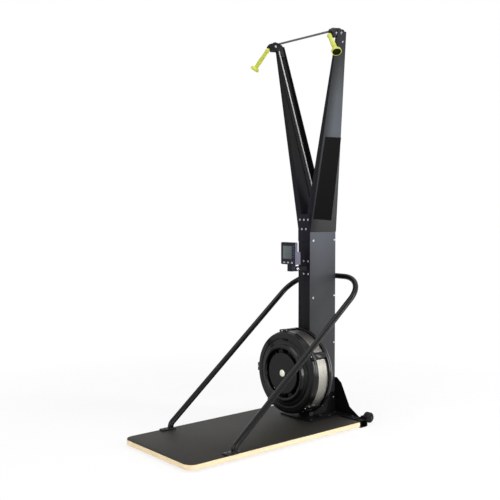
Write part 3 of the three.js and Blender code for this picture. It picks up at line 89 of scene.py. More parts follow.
class Value:
    """A number or colour that changes over a surface. Sums on it add the nodes that work them out."""

    def __init__(self, tree, socket):
        self.tree = tree
        self.socket = socket

    def maths(self, operation, first, second=0.0):
        node = self.tree.nodes.new("ShaderNodeMath")
        node.operation = operation
        for socket, item in zip(node.inputs, (first, second)):
            feed(self.tree, socket, item)
        return Value(self.tree, node.outputs[0])

    def __add__(self, other):
        return self.maths("ADD", self, other)

    def __mul__(self, other):
        return self.maths("MULTIPLY", self, other)

    def __sub__(self, other):
        return self.maths("SUBTRACT", self, other)

    def __rsub__(self, other):
        return self.maths("SUBTRACT", other, self)

    def __truediv__(self, other):
        return self.maths("DIVIDE", self, other)

    def __gt__(self, other):
        return self.maths("GREATER_THAN", self, other)

    def __lt__(self, other):
        return self.maths("LESS_THAN", self, other)

    __radd__ = __add__
    __rmul__ = __mul__

    def whole(self):
        return self.maths("FLOOR", self)

    def part(self):
        """What is left of the number above its whole part."""
        return self.maths("FRACT", self)

    def wave(self):
        return self.maths("SINE", self)

    def size(self):
        return self.maths("ABSOLUTE", self)

    def at_most(self, other):
        return self.maths("MINIMUM", self, other)

    def at_least(self, other):
        return self.maths("MAXIMUM", self, other)


def feed(tree, socket, item):
    """Links a value to a socket, or sets the socket to a plain number or colour."""
    if isinstance(item, Value):
        tree.links.new(item.socket, socket)
    else:
        socket.default_value = item


class Finish:
    """A finish: plain numbers and colours go on the shader itself, and what varies comes from nodes."""

    def __init__(self, name, slot, **plain):
        self.slot = slot
        self.material = bpy.data.materials.new(name)
        self.material.use_nodes = True
        self.tree = self.material.node_tree
        self.shader = self.tree.nodes["Principled BSDF"]
        self.set(**plain)

    def set(self, **sockets):
        for key, item in sockets.items():
            name = "Specular IOR Level" if key == "specular" else key.replace("_", " ").title()
            feed(self.tree, self.shader.inputs[name], item)

    def node(self, kind, inputs=(), output=0, **settings):
        """Any other node: its settings first, then the values or links of its sockets."""
        made = self.tree.nodes.new("ShaderNode" + kind)
        for name, item in settings.items():
            setattr(made, name, item)
        for name, item in dict(inputs).items():
            feed(self.tree, made.inputs[name], item)
        return Value(self.tree, made.outputs[output])

    def place(self, stretch=(1, 1, 1)):
        """The place on the piece in metres, stretched so that a pattern runs long in one direction."""
        at = self.node("TexCoord", output=3)
        return self.node("Mapping", {"Vector": at, "Scale": stretch})

    def cloud(self, scale, detail=2.0, stretch=(1, 1, 1)):
        """A soft random pattern, from 0 to 1, with lumps about 1/scale metres across."""
        inputs = {"Vector": self.place(stretch), "Scale": scale, "Detail": detail}
        return self.node("TexNoise", inputs)

    def blend(self, share, one, other):
        inputs = {0: share, 6: one, 7: other}
        return self.node("Mix", inputs, output=2, data_type="RGBA")

    def along(self, way):
        """The place on the piece along one direction: 0 is right, 1 is back and 2 is up."""
        return self.node("SeparateXYZ", {0: self.place()}, output=way)

    def ramp(self, value, start, end):
        """How far a number has come from start to end, from 0 to 1."""
        return self.node("MapRange", {"Value": value, "From Min": start, "From Max": end})

    def relief(self, height, depth):
        """Bumps as deep as the given number of metres."""
        inputs = {"Height": height, "Distance": depth, "Strength": 1.0}
        self.set(normal=self.node("Bump", inputs))


def shade(red, green, blue):
    """A colour as a picture shows it, from 0 to 255, as the light that it stands for."""
    shares = [tone / 255 for tone in (red, green, blue)]
    return (*[((s + 0.055) / 1.055) ** 2.4 if s > 0.04 else s / 12.92 for s in shares], 1)


world = bpy.data.worlds.new("surroundings")
world.use_nodes = True
scene.world = world
sky = world.node_tree
surroundings_for_camera = 1.0
surroundings_for_light = 0.34
rays = sky.nodes.new("ShaderNodeLightPath")
seen = Value(sky, rays.outputs["Is Camera Ray"]) + Value(sky, rays.outputs["Is Glossy Ray"])
seen = seen + Value(sky, rays.outputs["Is Transmission Ray"])
strength = seen.at_most(1.0) * (surroundings_for_camera - surroundings_for_light) + surroundings_for_light
sky.nodes["Background"].inputs["Color"].default_value = (1, 1, 1, 1)
feed(sky, sky.nodes["Background"].inputs["Strength"], strength)

floor_radius = 6.0
floor_full_radius, floor_clear_radius = 1.2, 2.6
floor_lift = 0.8
white = Finish("studio_floor", None, base_color=(1, 1, 1, 1), roughness=0.9, specular=0.1)
from_middle = white.node("VectorMath", {0: white.place()}, output=1, operation="LENGTH")
faded = white.ramp(from_middle, floor_full_radius, floor_clear_radius)
lift = white.node("LightPath", output="Is Camera Ray") * floor_lift
lit = Value(white.tree, white.shader.outputs[0])
lifted = white.node("MixShader", {0: lift, 1: lit, 2: white.node("Emission")})
floor_mix = white.node("MixShader", {0: faded, 1: lifted, 2: white.node("BsdfTransparent")})
feed(white.tree, white.tree.nodes["Material Output"].inputs[0], floor_mix)
bm = bmesh.new()
bmesh.ops.create_circle(bm, cap_ends=True, segments=64, radius=floor_radius)
floor_mesh = bpy.data.meshes.new("studio_floor")
bm.to_mesh(floor_mesh)
bm.free()
floor_mesh.materials.append(white.material)
floor = bpy.data.objects.new("studio_floor", floor_mesh)
scene.collection.objects.link(floor)

# The platform: a birch plywood board with rounded front corners. Its edge shows the plies as thin
# light and dark lines, and it has a clear satin coat. The corners and edges are routed round.
board_corner = 0.055
board_edge = 0.0022
ply = 0.00185
glue_share = 0.16


def put(name, bm, finish, body="frame", stands_for=(), smooth=32):
    """Makes the piece, gives it its finish and hangs it on its body, if it has one."""
    mesh = bpy.data.meshes.new(name)
    bmesh.ops.recalc_face_normals(bm, faces=bm.faces)
    bm.to_mesh(mesh)
    bm.free()
    finishes = finish if isinstance(finish, (list, tuple)) else [finish]
    for one in finishes:
        mesh.materials.append(one.material)
    mesh.polygons.foreach_set("use_smooth", [True] * len(mesh.polygons))
    mesh.set_sharp_from_angle(angle=math.radians(smooth))
    piece = bpy.data.objects.new(name, mesh)
    scene.collection.objects.link(piece)
    if body:
        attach(piece, body)
    if stands_for:
        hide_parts(*stands_for)
    return piece


def round_edges(bm, edge):
    """Rounds every edge where the surface turns by more than 28 degrees."""
    sharp_from = math.radians(28)
    sharp = [e for e in bm.edges if e.is_manifold and e.calc_face_angle() > sharp_from]
    bmesh.ops.bevel(
        bm, geom=sharp, offset=edge, offset_type="OFFSET", segments=2, profile=0.5,
        affect="EDGES", clamp_overlap=True,
    )
    return bm


def slab(points, low, high, edge):
    """A plate with the outline given, seen from above, between two heights."""
    bm = bmesh.new()
    base = bm.faces.new([bm.verts.new((x, y, low)) for x, y in points])
    raised = bmesh.ops.extrude_face_region(bm, geom=[base])["geom"]
    up = [v for v in raised if isinstance(v, bmesh.types.BMVert)]
    bmesh.ops.translate(bm, verts=up, vec=(0, 0, high - low))
    return round_edges(bm, edge)


def arc(centre, radius, start, end, steps):
    """Points round an arc; the angles are in quarter turns."""
    turns = [math.pi / 2 * (start + (end - start) * i / steps) for i in range(steps + 1)]
    return [(centre[0] + radius * math.cos(t), centre[1] + radius * math.sin(t)) for t in turns]


def deck_outline(node, corner):
    """The board's outline from above, with its two front corners rounded."""
    low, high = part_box(node)
    front = low.y + corner
    points = arc((high.x - corner, front), corner, -1, 0, 16)
    points += [(high.x, high.y), (low.x, high.y)]
    return points + arc((low.x + corner, front), corner, 2, 3, 16)


birch = Finish("birch_plywood", "wood", roughness=0.5, specular=0.35, coat_weight=0.12, coat_roughness=0.3)
plies_up = birch.along(2) / ply
odd = (plies_up.whole() / 2).part() * 2
glue = plies_up.part() < glue_share
grain = birch.cloud(22, 4, stretch=(1, 0.12, 6))
fleck = birch.cloud(260, 3, stretch=(0.25, 0.25, 1.4))
face = birch.blend(grain, shade(240, 219, 178), shade(252, 237, 206))
end_grain = birch.blend(grain, shade(226, 194, 146), shade(242, 214, 172))
wood = birch.blend(odd * 0.55, face, end_grain)
wood = birch.blend((fleck > 0.62) * 0.25, wood, shade(190, 150, 96))
wood = birch.blend(glue * 0.45, wood, shade(168, 124, 74))
birch.set(base_color=wood)
birch.relief(glue * -0.6 + fleck * 0.5 + odd * 0.3, 0.00025)

low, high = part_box("platform_board")
board = slab(deck_outline("platform_board", board_corner), low.z, high.z, board_edge)
put("plywood_board", board, birch, stands_for=["platform_board"])

# The standing surface: a thin black rubber sheet with a fine pressed grain, glued over the whole
# board and cut a little inside its edge.
mat_edge = 0.0009
mat_inset = 0.0015
grip = Finish("grip_sheet", "mat", roughness=0.5, specular=0.12)
grip_grain = grip.cloud(1500, 2)
grip_wear = grip.cloud(5, 3)
grip.set(
    base_color=grip.blend(grip_wear, shade(36, 35, 32), shade(44, 43, 39)),
    roughness=0.44 + grip_grain * 0.16 + grip_wear * 0.08,
)
grip.relief(grip_grain, 0.00035)
low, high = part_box("platform_mat")
sheet = slab(deck_outline("platform_mat", board_corner - mat_inset), low.z, high.z, mat_edge)
put("grip_sheet", sheet, grip, stands_for=["platform_mat"])

# Rubber feet under the board: tapered black pads, moulded with a recess for the screw that holds
# each and a groove round its foot.
on_axis = 1e-6
both_sides = (("left", -1), ("right", 1))


def skin(bm, rings):
    """Faces between rings that follow each other; a ring may be one point on the axis."""
    for one, other in zip(rings, rings[1:]):
        count = max(len(one), len(other))
        for i in range(count):
            k = (i + 1) % count
            if len(one) == 1:
                bm.faces.new((one[0], other[i], other[k]))
            elif len(other) == 1:
                bm.faces.new((one[i], one[k], other[0]))
            else:
                bm.faces.new((one[i], one[k], other[k], other[i]))


def turned(profile, axis="z", centre=(0, 0, 0), sides=48):
    """A turned piece. The profile lists radius and place along the axis, in metres, and is closed."""
    bm = bmesh.new()
    rings = []
    for radius, along in profile:
        if radius < on_axis:
            rings.append([bm.verts.new((0, 0, along))])
            continue
        turns = [2 * math.pi * i / sides for i in range(sides)]
        rings.append([bm.verts.new((radius * math.cos(t), radius * math.sin(t), along)) for t in turns])
    if len(rings[0]) > 1 and len(rings[-1]) > 1:
        rings.append(rings[0])
    skin(bm, rings)
    to_axis = {"x": Matrix.Rotation(math.pi / 2, 4, "Y"), "y": Matrix.Rotation(-math.pi / 2, 4, "X")}
    turn = to_axis.get(axis, Matrix.Identity(4))
    bmesh.ops.transform(bm, matrix=Matrix.Translation(centre) @ turn, verts=bm.verts)
    return bm


def eased(profile, radius, steps):
    """The same profile with each corner rounded, as far as its neighbours leave room."""
    points = [Vector(p) for p in profile]
    made = []
    for i, point in enumerate(points):
        back, ahead = points[i - 1] - point, points[(i + 1) % len(points)] - point
        room = min(radius, back.length * 0.45, ahead.length * 0.45)
        nearly_straight = back.angle(ahead, math.pi) > math.radians(172)
        if point.x < on_axis or nearly_straight or room < 1e-5:
            made.append(point)
            continue
        start, end = point + back.normalized() * room, point + ahead.normalized() * room
        for k in range(steps + 1):
            t = k / steps
            made.append(start * (1 - t) ** 2 + point * 2 * t * (1 - t) + end * t**2)
    return [(p.x, p.y) for p in made]


def middle(node):
    """The middle of a node's box."""
    low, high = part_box(node)
    return (low + high) / 2


def grained(name, slot, grain, dark, light, roughness, spread=0.0, depth=0.0, **plain):
    """A finish whose tone, gloss and relief follow one pattern, made as cloud() makes it."""
    made = Finish(name, slot, roughness=roughness, **plain)
    pattern = made.cloud(*grain)
    made.set(base_color=made.blend(pattern, dark, light))
    if spread:
        made.set(roughness=pattern * spread + roughness)
    if depth:
        made.relief(pattern, depth)
    return made


rubber = grained(
    "black_rubber", "rubber", (900, 3), shade(24, 24, 26), shade(36, 36, 38), 0.72, depth=0.0002,
    specular=0.2,
)
top_radius, foot_radius = 0.022, 0.026
for side, _ in both_sides:
    for row in ("front", "middle"):
        node = f"foot_pad_{row}_{side}"
        low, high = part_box(node)
        tall = high.z - low.z
        profile = [
            (0, 0.002), (0.006, 0.002), (0.007, 0), (foot_radius, 0), (foot_radius, tall * 0.22),
            (foot_radius - 0.0015, tall * 0.3), (foot_radius - 0.0008, tall * 0.4),
            (top_radius, tall), (0, tall),
        ]
        centre = (middle(node).x, middle(node).y, low.z)
        put(f"rubber_{node}", turned(eased(profile, 0.0012, 3), centre=centre), rubber, stands_for=[node])

# Steel parts of the foot: the cross member on the floor, the base plate over the board, the flared
# plate behind the mast and a gusset on each side. All are folded or cut sheet with broken edges,
# under one black powder coat.


def dressed(name, node, finish, edge, body="frame", smooth=32):
    """The solid of a node with its flat faces joined and its edges broken, as a finished piece."""
    bm = bmesh.new()
    bm.from_mesh(frame["nodes"][node].data)
    bmesh.ops.remove_doubles(bm, verts=bm.verts, dist=2e-5)
    flat = math.radians(1.0)
    bmesh.ops.dissolve_limit(bm, angle_limit=flat, verts=bm.verts, edges=bm.edges)
    return put(name, round_edges(bm, edge), finish, body, [node], smooth)


def coated(name, slot, dark, light, roughness, grain=1300, depth=0.00012, specular=0.12):
    """Paint or moulded plastic: a fine grain in the surface and slow changes in its tone and gloss."""
    made = Finish(name, slot, specular=specular)
    fine = made.cloud(grain, 2)
    slow = made.cloud(9, 3)
    made.set(
        base_color=made.blend(slow, dark, light),
        roughness=roughness - 0.05 + fine * 0.08 + slow * 0.05,
    )
    made.relief(fine, depth)
    return made


black_coat = coated("black_powder_coat", "frame", shade(13, 13, 14), shade(18, 18, 19), 0.46, specular=0.07)
for node, edge in (
    ("rear_cross_member", 0.0022), ("base_plate", 0.0012), ("rear_foot_plate", 0.0010),
    ("foot_bracket_left", 0.0010), ("foot_bracket_right", 0.0010),
):
    dressed(f"coated_{node}", node, black_coat, edge)

# Bolts: button heads with a socket, each on a plain washer. Most are bright zinc. Those that hold the
# pulley housings are duller, and those on the floor parts, the wheels and the rail are black.
zinc = grained(
    "zinc_bolt", "steel", (700, 2), shade(150, 151, 158), shade(186, 187, 192), 0.34, 0.14, 0.00004,
    metallic=1.0,
)
grey_zinc = grained(
    "grey_bolt", "steel", (700, 2), shade(112, 112, 120), shade(140, 140, 148), 0.42, metallic=0.9
)
black_zinc = grained(
    "black_bolt", "steel", (700, 2), shade(42, 42, 44), shade(66, 66, 68), 0.4, depth=0.00004,
    metallic=0.7, specular=0.3,
)


def joined(parts):
    """Several meshes put together as one."""
    whole = bmesh.new()
    for part in parts:
        loose = bpy.data.meshes.new("loose")
        part.to_mesh(loose)
        part.free()
        whole.from_mesh(loose)
        bpy.data.meshes.remove(loose)
    return whole


def bolts(name, spots, facing, radius, finish=zinc):
    """Button heads at the spots given, all facing the same way, as one piece."""
    rise = radius * 0.62
    washer = radius * 1.45
    profile = [
        (0, rise * 0.45), (radius * 0.42, rise * 0.45), (radius * 0.5, rise), (radius * 0.62, rise),
        (radius * 0.9, rise * 0.68), (radius, rise * 0.28), (washer, rise * 0.24), (washer, 0), (0, 0),
    ]
    turn = Vector(facing).to_track_quat("Z", "Y").to_matrix().to_4x4()
    heads = []
    for spot in spots:
        head = turned(profile, sides=18)
        bmesh.ops.transform(head, matrix=Matrix.Translation(spot) @ turn, verts=head.verts)
        heads.append(head)
    return put(name, joined(heads), finish)


plate_low, plate_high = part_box("base_plate")
front_y = plate_low.y + 0.026
base_rows = ((0.108, front_y), (0.108, front_y + 0.15), (0.205, plate_high.y - 0.024))
base_spots = [(x, y, plate_high.z) for half, y in base_rows for x in (-half, half)]
bolts("base_bolts", base_spots, (0, 0, 1), 0.0062, finish=black_zinc)
gusset_sheet = 0.005
cheek_bolts = ((0.0533, 0.56685, 0.134), (0.0537, 0.47, 0.1))
flange_bolts = ((0.078, 0.43), (0.078, 0.55))
for side, sign in both_sides:
    spots = [(sign * x, y, z) for x, y, z in cheek_bolts]
    bolts(f"gusset_bolts_{side}", spots, (sign, 0, 0), 0.0045)
    flange_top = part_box(f"foot_bracket_{side}")[0].z + gusset_sheet
    spots = [(sign * x, y, flange_top) for x, y in flange_bolts]
    bolts(f"gusset_foot_bolts_{side}", spots, (0, 0, 1), 0.0055, finish=black_zinc)

# Transport wheels: solid black rubber tyres with a groove round the tread and one in each face, in
# forks of folded plate behind the cross member. The black nut of its axle holds each.
wheel_radius, wheel_half = 0.030, 0.020
axle_end_x = 0.2920
tyre = coated("tyre_rubber", "tyre", shade(26, 26, 28), shade(38, 38, 40), 0.7, grain=700, depth=0.0002)
tyre_profile = [
    (0.0056, -wheel_half + 0.003), (0.0135, -wheel_half + 0.003), (0.0140, -wheel_half),
    (0.0200, -wheel_half), (0.0205, -wheel_half + 0.0008), (0.0225, -wheel_half + 0.0008),
    (0.0230, -wheel_half), (wheel_radius - 0.006, -wheel_half), (wheel_radius, -wheel_half + 0.006),
    (wheel_radius, -0.0062), (wheel_radius - 0.0012, -0.0054), (wheel_radius - 0.0012, -0.0042),
    (wheel_radius, -0.0034),
]


def mirrored(profile):
    """A profile, with the same points again in reverse on the other side."""
    return profile + [(radius, -along) for radius, along in reversed(profile)]


tyre_shape = eased(mirrored(tyre_profile), 0.0012, 3)
for side, sign in both_sides:
    node = f"transport_wheel_{side}"
    wheel = turned(tyre_shape, "x", middle(node), 56)
    put(f"tyre_{side}", wheel, tyre, f"wheel_{side}", [node])
    bracket = f"wheel_bracket_{side}"
    dressed(f"coated_{bracket}", bracket, black_coat, 0.0007)
    axle = middle(node)
    spots = [(sign * axle_end_x, axle.y, axle.z)]
    bolts(f"axle_nut_{side}", spots, (sign, 0, 0), 0.006, finish=black_zinc)

# The mast: a black front channel and rear channel of folded sheet, closed by two flat side panels
# in a lighter anthracite coat, bolted through their edges.


def coat_with_painted_light(name, slot, painted_tones, roughness, specular, front=None):
    """Powder coat with painted light and shade by height, and painted shade towards a front edge if given.
    """
    made = Finish(name, slot, specular=specular)
    tall = made.along(2)
    tone = painted_tones[0][1]
    for (low_z, _), (high_z, colour) in zip(painted_tones, painted_tones[1:]):
        tone = made.blend(made.ramp(tall, low_z, high_z), tone, colour)
    if front:
        front_y, back_y, colour = front
        tone = made.blend(made.ramp(made.along(1), back_y, front_y) * 0.75, tone, colour)
    fine, slow = made.cloud(1300, 2), made.cloud(9, 3)
    made.set(
        base_color=made.blend(slow * 0.1, tone, shade(70, 72, 76)),
        roughness=roughness - 0.05 + fine * 0.08 + slow * 0.05,
    )
    made.relief(fine, 0.00012)
    return made


# Painted shade below the rail's shadow and painted light towards the top of the mast's sides.
side_coat = coat_with_painted_light(
    "anthracite_powder_coat", "side_panel",
    ((0.60, shade(50, 51, 53)), (0.85, shade(54, 55, 58)), (1.09, shade(77, 79, 88))), 0.46, 0.16,
)
# Painted reflection: a lilac cast in the black coat, strongest at 1.2 m high.
front_coat = coat_with_painted_light(
    "black_front_coat", "frame",
    (
        (0.60, shade(15, 15, 16)), (0.95, shade(15, 14, 23)),
        (1.20, shade(17, 16, 28)), (1.60, shade(15, 15, 16)),
    ),
    0.5, 0.08,
)
for name, where, coat in (
    ("mast_front_channel", "front", front_coat), ("mast_rear_channel", "rear", front_coat),
    ("mast_side_right", "right", side_coat), ("mast_side_left", "left", side_coat),
):
    dressed(name, f"column_{where}_panel", coat, 0.0009)
panel_low, panel_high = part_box("column_right_panel")
front_row, front_heights = panel_low.y + 0.0275, (1.068, 0.736)
rear_row, rear_heights = panel_high.y - 0.009, (1.070, 0.739, 0.460)
for side, sign in both_sides:
    face_x = sign * panel_high.x
    spots = [(face_x, front_row, z) for z in front_heights]
    spots += [(face_x, rear_row, z) for z in rear_heights]
    bolts(f"mast_side_bolts_{side}", spots, (sign, 0, 0), 0.0042)

# The joint plate: a black steel plate across the arms' feet and the top of the mast, held by a row of
# three bolts above and a row of two below.
dressed("joint_plate_coated", "joint_plate", front_coat, 0.0008)
joint_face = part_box("joint_plate")[0].y
joint_spots = [(x, joint_face, 1.189) for x in (-0.033, 0, 0.033)]
joint_spots += [(x, joint_face, 1.135) for x in (-0.017, 0.017)]
bolts("joint_bolts", joint_spots, (0, -1, 0), 0.0044)

# The arms: tapering channels of folded sheet. The outer web has the anthracite coat of the mast's
# sides, and the flanges and the inside are black. The joint plate holds their feet together.
arm_foot = Vector((0.048, 0, 1.1183))
arm_top = Vector((0.258, 0, 2.228))
web_up = (arm_top - arm_foot).normalized()
web_out = Vector((web_up.z, 0, -web_up.x))
web_reach = 0.004


def on_web(z):
    """The point of the right arm's outer face at a height, in the plane y = 0."""
    return arm_foot.lerp(arm_top, (z - arm_foot.z) / (arm_top.z - arm_foot.z))


# Painted light near 1.7 m, painted shade at the foot, at the tip and towards the front edge.
web_coat = coat_with_painted_light(
    "anthracite_web_coat", "side_panel",
    (
        (1.12, shade(58, 58, 57)), (1.30, shade(62, 63, 62)), (1.70, shade(86, 90, 97)),
        (1.88, shade(82, 86, 90)), (2.06, shade(54, 56, 58)), (2.16, shade(38, 38, 41)),
    ),
    0.46, 0.08, front=(0.385, 0.440, shade(34, 34, 35)),
)
for side, sign in both_sides:
    node = f"arm_{side}"
    arm = dressed(f"coated_{node}", node, [front_coat, web_coat], 0.0008)
    for face in arm.data.polygons:
        off_web = abs(face.center.x * sign - on_web(face.center.z).x)
        if face.normal.x * sign > 0.9 and off_web < web_reach:
            face.material_index = 1

# The panel on the right arm: a plain piece of near-black satin film with square corners, stuck to the
# outer web.
film = grained("black_film", "frame", (300, 2), shade(3, 3, 3), shade(6, 6, 6), 0.34, 0.1, specular=0.03)
film_corners = [(0.38900, 1.656), (0.51800, 1.660), (0.53400, 1.184), (0.38250, 1.194)]
film_under, film_over = 0.00005, 0.0004
bm = bmesh.new()
layers = [
    [bm.verts.new(on_web(z) + web_out * off + Vector((0, y, 0))) for y, z in film_corners]
    for off in (film_under, film_over)
]
for layer in layers:
    bm.faces.new(layer)
skin(bm, layers)
put("film_panel", bm, film)

# The bar across the arms' tips: a straight steel rod with broken edges, in a grey powder coat. It
# keeps the tips apart.
low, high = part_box("crossbar")
bar_radius = (high.z - low.z) / 2
bar_profile = [(0, low.x), (bar_radius, low.x), (bar_radius, high.x), (0, high.x)]
bar_middle = middle("crossbar")
bar_coat = coated("grey_bar_coat", "frame", shade(84, 84, 88), shade(98, 98, 102), 0.4, specular=0.4)
bar = turned(eased(bar_profile, 0.001, 2), "x", (0, bar_middle.y, bar_middle.z), 32)
put("tip_bar", bar, bar_coat, stands_for=["crossbar"])

# Pulley housings: black moulded cases round the top pulleys, each bolted to the arm's web by a flat
# foot. Two bolts go through the web, and the pulley's pin has a bright head on each cheek.
black_plastic = coated(
    "black_plastic", "black_plastic", shade(18, 18, 20), shade(24, 24, 26), 0.4, grain=1600
)
joints = {joint["name"]: joint for joint in frame["joints"]}
case_half = 0.013
case_bolts = ((0.40285, 2.217), (0.42285, 2.172))
for side, sign in both_sides:
    dressed(f"case_{side}", f"pulley_housing_{side}", black_plastic, 0.0010, smooth=40)
    axis = Vector(joints[f"top_pulley_{side}_spin"]["axis"])
    centre = middle(f"top_pulley_{side}")
    bolts(f"pin_head_outer_{side}", [centre + axis * case_half], axis, 0.0052)
    bolts(f"pin_head_inner_{side}", [centre - axis * case_half], -axis, 0.0052)
    spots = [(sign * on_web(z).x, y, z) for y, z in case_bolts]
    bolts(f"case_bolts_{side}", spots, (sign * web_out.x, 0, web_out.z), 0.0044, finish=grey_zinc)

# Pulleys: grey moulded wheels with a cord groove. The top ones turn on the housings' pins and the
# lower ones on studs inside the mast.
grey_plastic = coated("grey_plastic", "disc_plastic", shade(46, 47, 50), shade(58, 59, 62), 0.45)
pulley_half, pulley_waist = 0.007, 0.0022


def pulley(groove, flange, bore):
    """The section of a grooved wheel: its bore, a dish in each face and a groove for the cord."""
    rim, half = groove + flange, pulley_half
    one_side = [
        (bore, -half), (rim * 0.62, -half), (rim * 0.66, -half + 0.001), (rim * 0.86, -half + 0.001),
        (rim * 0.9, -half), (rim, -half), (rim, -half + 0.0012), (groove, -pulley_waist),
    ]
    return eased(mirrored(one_side), 0.0006, 2)


top_wheel = pulley(0.017, 0.0045, 0.0045)
guide_wheel = pulley(0.012, 0.0035, 0.0035)
for side, _ in both_sides:
    node = f"top_pulley_{side}"
    bm = turned(top_wheel, sides=56)
    axis = Vector(joints[f"{node}_spin"]["axis"])
    turn = axis.to_track_quat("Z", "Y").to_matrix().to_4x4()
    bmesh.ops.transform(bm, matrix=Matrix.Translation(middle(node)) @ turn, verts=bm.verts)
    put(f"sheave_{side}", bm, grey_plastic, node, [node])
    node = f"guide_pulley_{side}"
    put(f"guide_sheave_{side}", turned(guide_wheel, "y", middle(node), 48), grey_plastic, node, [node])

# Pull cords: light grey braided cord, 7 mm thick, from the drums up the mast and the arms, over the
# top pulleys and out of the housings to the handles. They are always taut.
cord_radius = 0.0035
cord_sides = 16
braid_pitch = 0.009
cord_lower = {
    "right": [
        (0.0240, 0.4956, 0.3159), (0.0130, 0.5537, 1.0826), (0.0131, 0.5537, 1.0850),
        (0.0135, 0.5535, 1.0874),
    ],
    "left": [
        (0.0240, 0.5266, 0.3159), (-0.0129, 0.5538, 1.0831), (-0.0131, 0.5538, 1.0850),
        (-0.0134, 0.5536, 1.0868),
    ],
}
cord_crown = [
    (0.2360, 0.3797, 2.2145), (0.2366, 0.3795, 2.2175), (0.2374, 0.3788, 2.2204), (0.2382, 0.3778, 2.2231),
    (0.2392, 0.3764, 2.2256), (0.2402, 0.3746, 2.2279), (0.2413, 0.3725, 2.2299), (0.2423, 0.3702, 2.2314),
    (0.2434, 0.3676, 2.2326), (0.2445, 0.3648, 2.2334), (0.2455, 0.3620, 2.2338), (0.2464, 0.3591, 2.2337),
    (0.2473, 0.3562, 2.2332), (0.2480, 0.3534, 2.2322), (0.2487, 0.3507, 2.2309), (0.2491, 0.3483, 2.2292),
    (0.2495, 0.3461, 2.2271), (0.2525, 0.3224, 2.2016),
]


def tube(points, radius, sides):
    """A round tube along the points, with its length and turn as its surface coordinates."""
    points = [Vector(p) for p in points]
    bm = bmesh.new()
    layer = bm.loops.layers.uv.new("along")
    turns = [2 * math.pi * k / sides for k in range(sides)]
    rings, lengths, done = [], [], 0.0
    across = None
    for i, point in enumerate(points):
        ahead = (points[min(i + 1, len(points) - 1)] - points[max(i - 1, 0)]).normalized()
        if across is None:
            across = ahead.orthogonal().normalized()
        across = (across - ahead * across.dot(ahead)).normalized()
        other = ahead.cross(across)
        ring = [point + (across * math.cos(t) + other * math.sin(t)) * radius for t in turns]
        rings.append([bm.verts.new(spot) for spot in ring])
        done += (point - points[i - 1]).length if i else 0
        lengths.append(done)
    for i in range(len(rings) - 1):
        for k in range(sides):
            n = (k + 1) % sides
            face = bm.faces.new((rings[i][k], rings[i][n], rings[i + 1][n], rings[i + 1][k]))
            spots = ((i, k), (i, k + 1), (i + 1, k + 1), (i + 1, k))
            for loop, (ring, turn) in zip(face.loops, spots):
                loop[layer].uv = (lengths[ring], turn / sides)
    bm.faces.new(rings[0][::-1])
    bm.faces.new(rings[-1])
    return bm


braid = Finish("braided_cord", "cord", roughness=0.8, specular=0.25)
on_cord = braid.node("TexCoord", output=2)
strands_round = 4
lengthwise = braid.node("SeparateXYZ", {0: on_cord}, output=0) * (2 * math.pi / braid_pitch)
round_it = braid.node("SeparateXYZ", {0: on_cord}, output=1) * (2 * math.pi * strands_round)
one_way = (lengthwise + round_it).wave()
other_way = (lengthwise - round_it).wave()
weave = (one_way * other_way) * 0.5 + 0.5
braid.set(base_color=braid.blend(weave, shade(182, 182, 181), shade(214, 214, 213)))
braid.relief(weave, 0.0004)
for side, sign in both_sides:
    crown = [(sign * x, y, z) for x, y, z in cord_crown]
    cord = tube(cord_lower[side] + crown, cord_radius, cord_sides)
    put(f"braided_cord_{side}", cord, braid, stands_for=[f"drive_cord_{side}"])

# Handles: smooth lime plastic grips with a rounded head where the cord goes in. Each swells in the middle
# and flares at the end into an oval cup, whose inner wall and floor carry a dark olive finish as painted
# shade.
lime = Finish("lime_grip", "lime_plastic", specular=0.35)
lime_grain = lime.cloud(260, 2)
lime_slow = lime.cloud(30, 2)
lime.set(
    base_color=lime.blend(lime_slow, shade(185, 192, 62), shade(198, 204, 80)),
    roughness=0.40 + lime_grain * 0.06,
)
cup_shade_finish = coated(
    "olive_plug", "lime_plastic", shade(26, 29, 14), shade(36, 40, 20), 0.7, grain=900, specular=0.05
)
grip_along = Vector((0.61, -0.22, -0.761249))
grip_head = Vector((0.253981, 0.310824, 2.189253))
head_radius, cup_end = 0.0135, 0.138
grip_rings = [
    (-head_radius, 0, 0), (-0.0125, 0.0045, 0.0045), (-0.0097, 0.0094, 0.0094), (-0.005, 0.0125, 0.0125),
    (0, 0.0134, 0.0134), (0.008, 0.0128, 0.0128), (0.0176, 0.0111, 0.0111), (0.031, 0.0110, 0.0110),
    (0.047, 0.0120, 0.0120), (0.063, 0.0130, 0.0130), (0.088, 0.0130, 0.0130), (0.104, 0.0118, 0.0118),
    (0.111, 0.0112, 0.0112), (0.117, 0.0120, 0.0122), (0.1205, 0.0145, 0.0155), (0.1228, 0.0190, 0.0210),
    (0.1238, 0.0226, 0.0262), (0.1250, 0.0242, 0.0281), (0.1275, 0.0250, 0.0290),
    (cup_end - 0.0016, 0.0250, 0.0290), (cup_end - 0.0004, 0.0246, 0.0286), (cup_end, 0.0238, 0.0278),
    (cup_end, 0.0222, 0.0262), (cup_end - 0.0004, 0.0214, 0.0254), (cup_end - 0.0016, 0.0209, 0.0249),
    (0.1290, 0.0200, 0.0238), (0.1272, 0.0188, 0.0224), (0.1266, 0.0176, 0.0210),
    (0.1266, 0.0080, 0.0095), (0.1266, 0, 0),
]
grip_sides, shaded_cup_rings = 48, 7
grip_across = (Vector((0, 1, 0)) - grip_along * grip_along.y).normalized()
grip_third = grip_across.cross(grip_along)
grip_turns = [2 * math.pi * i / grip_sides for i in range(grip_sides)]
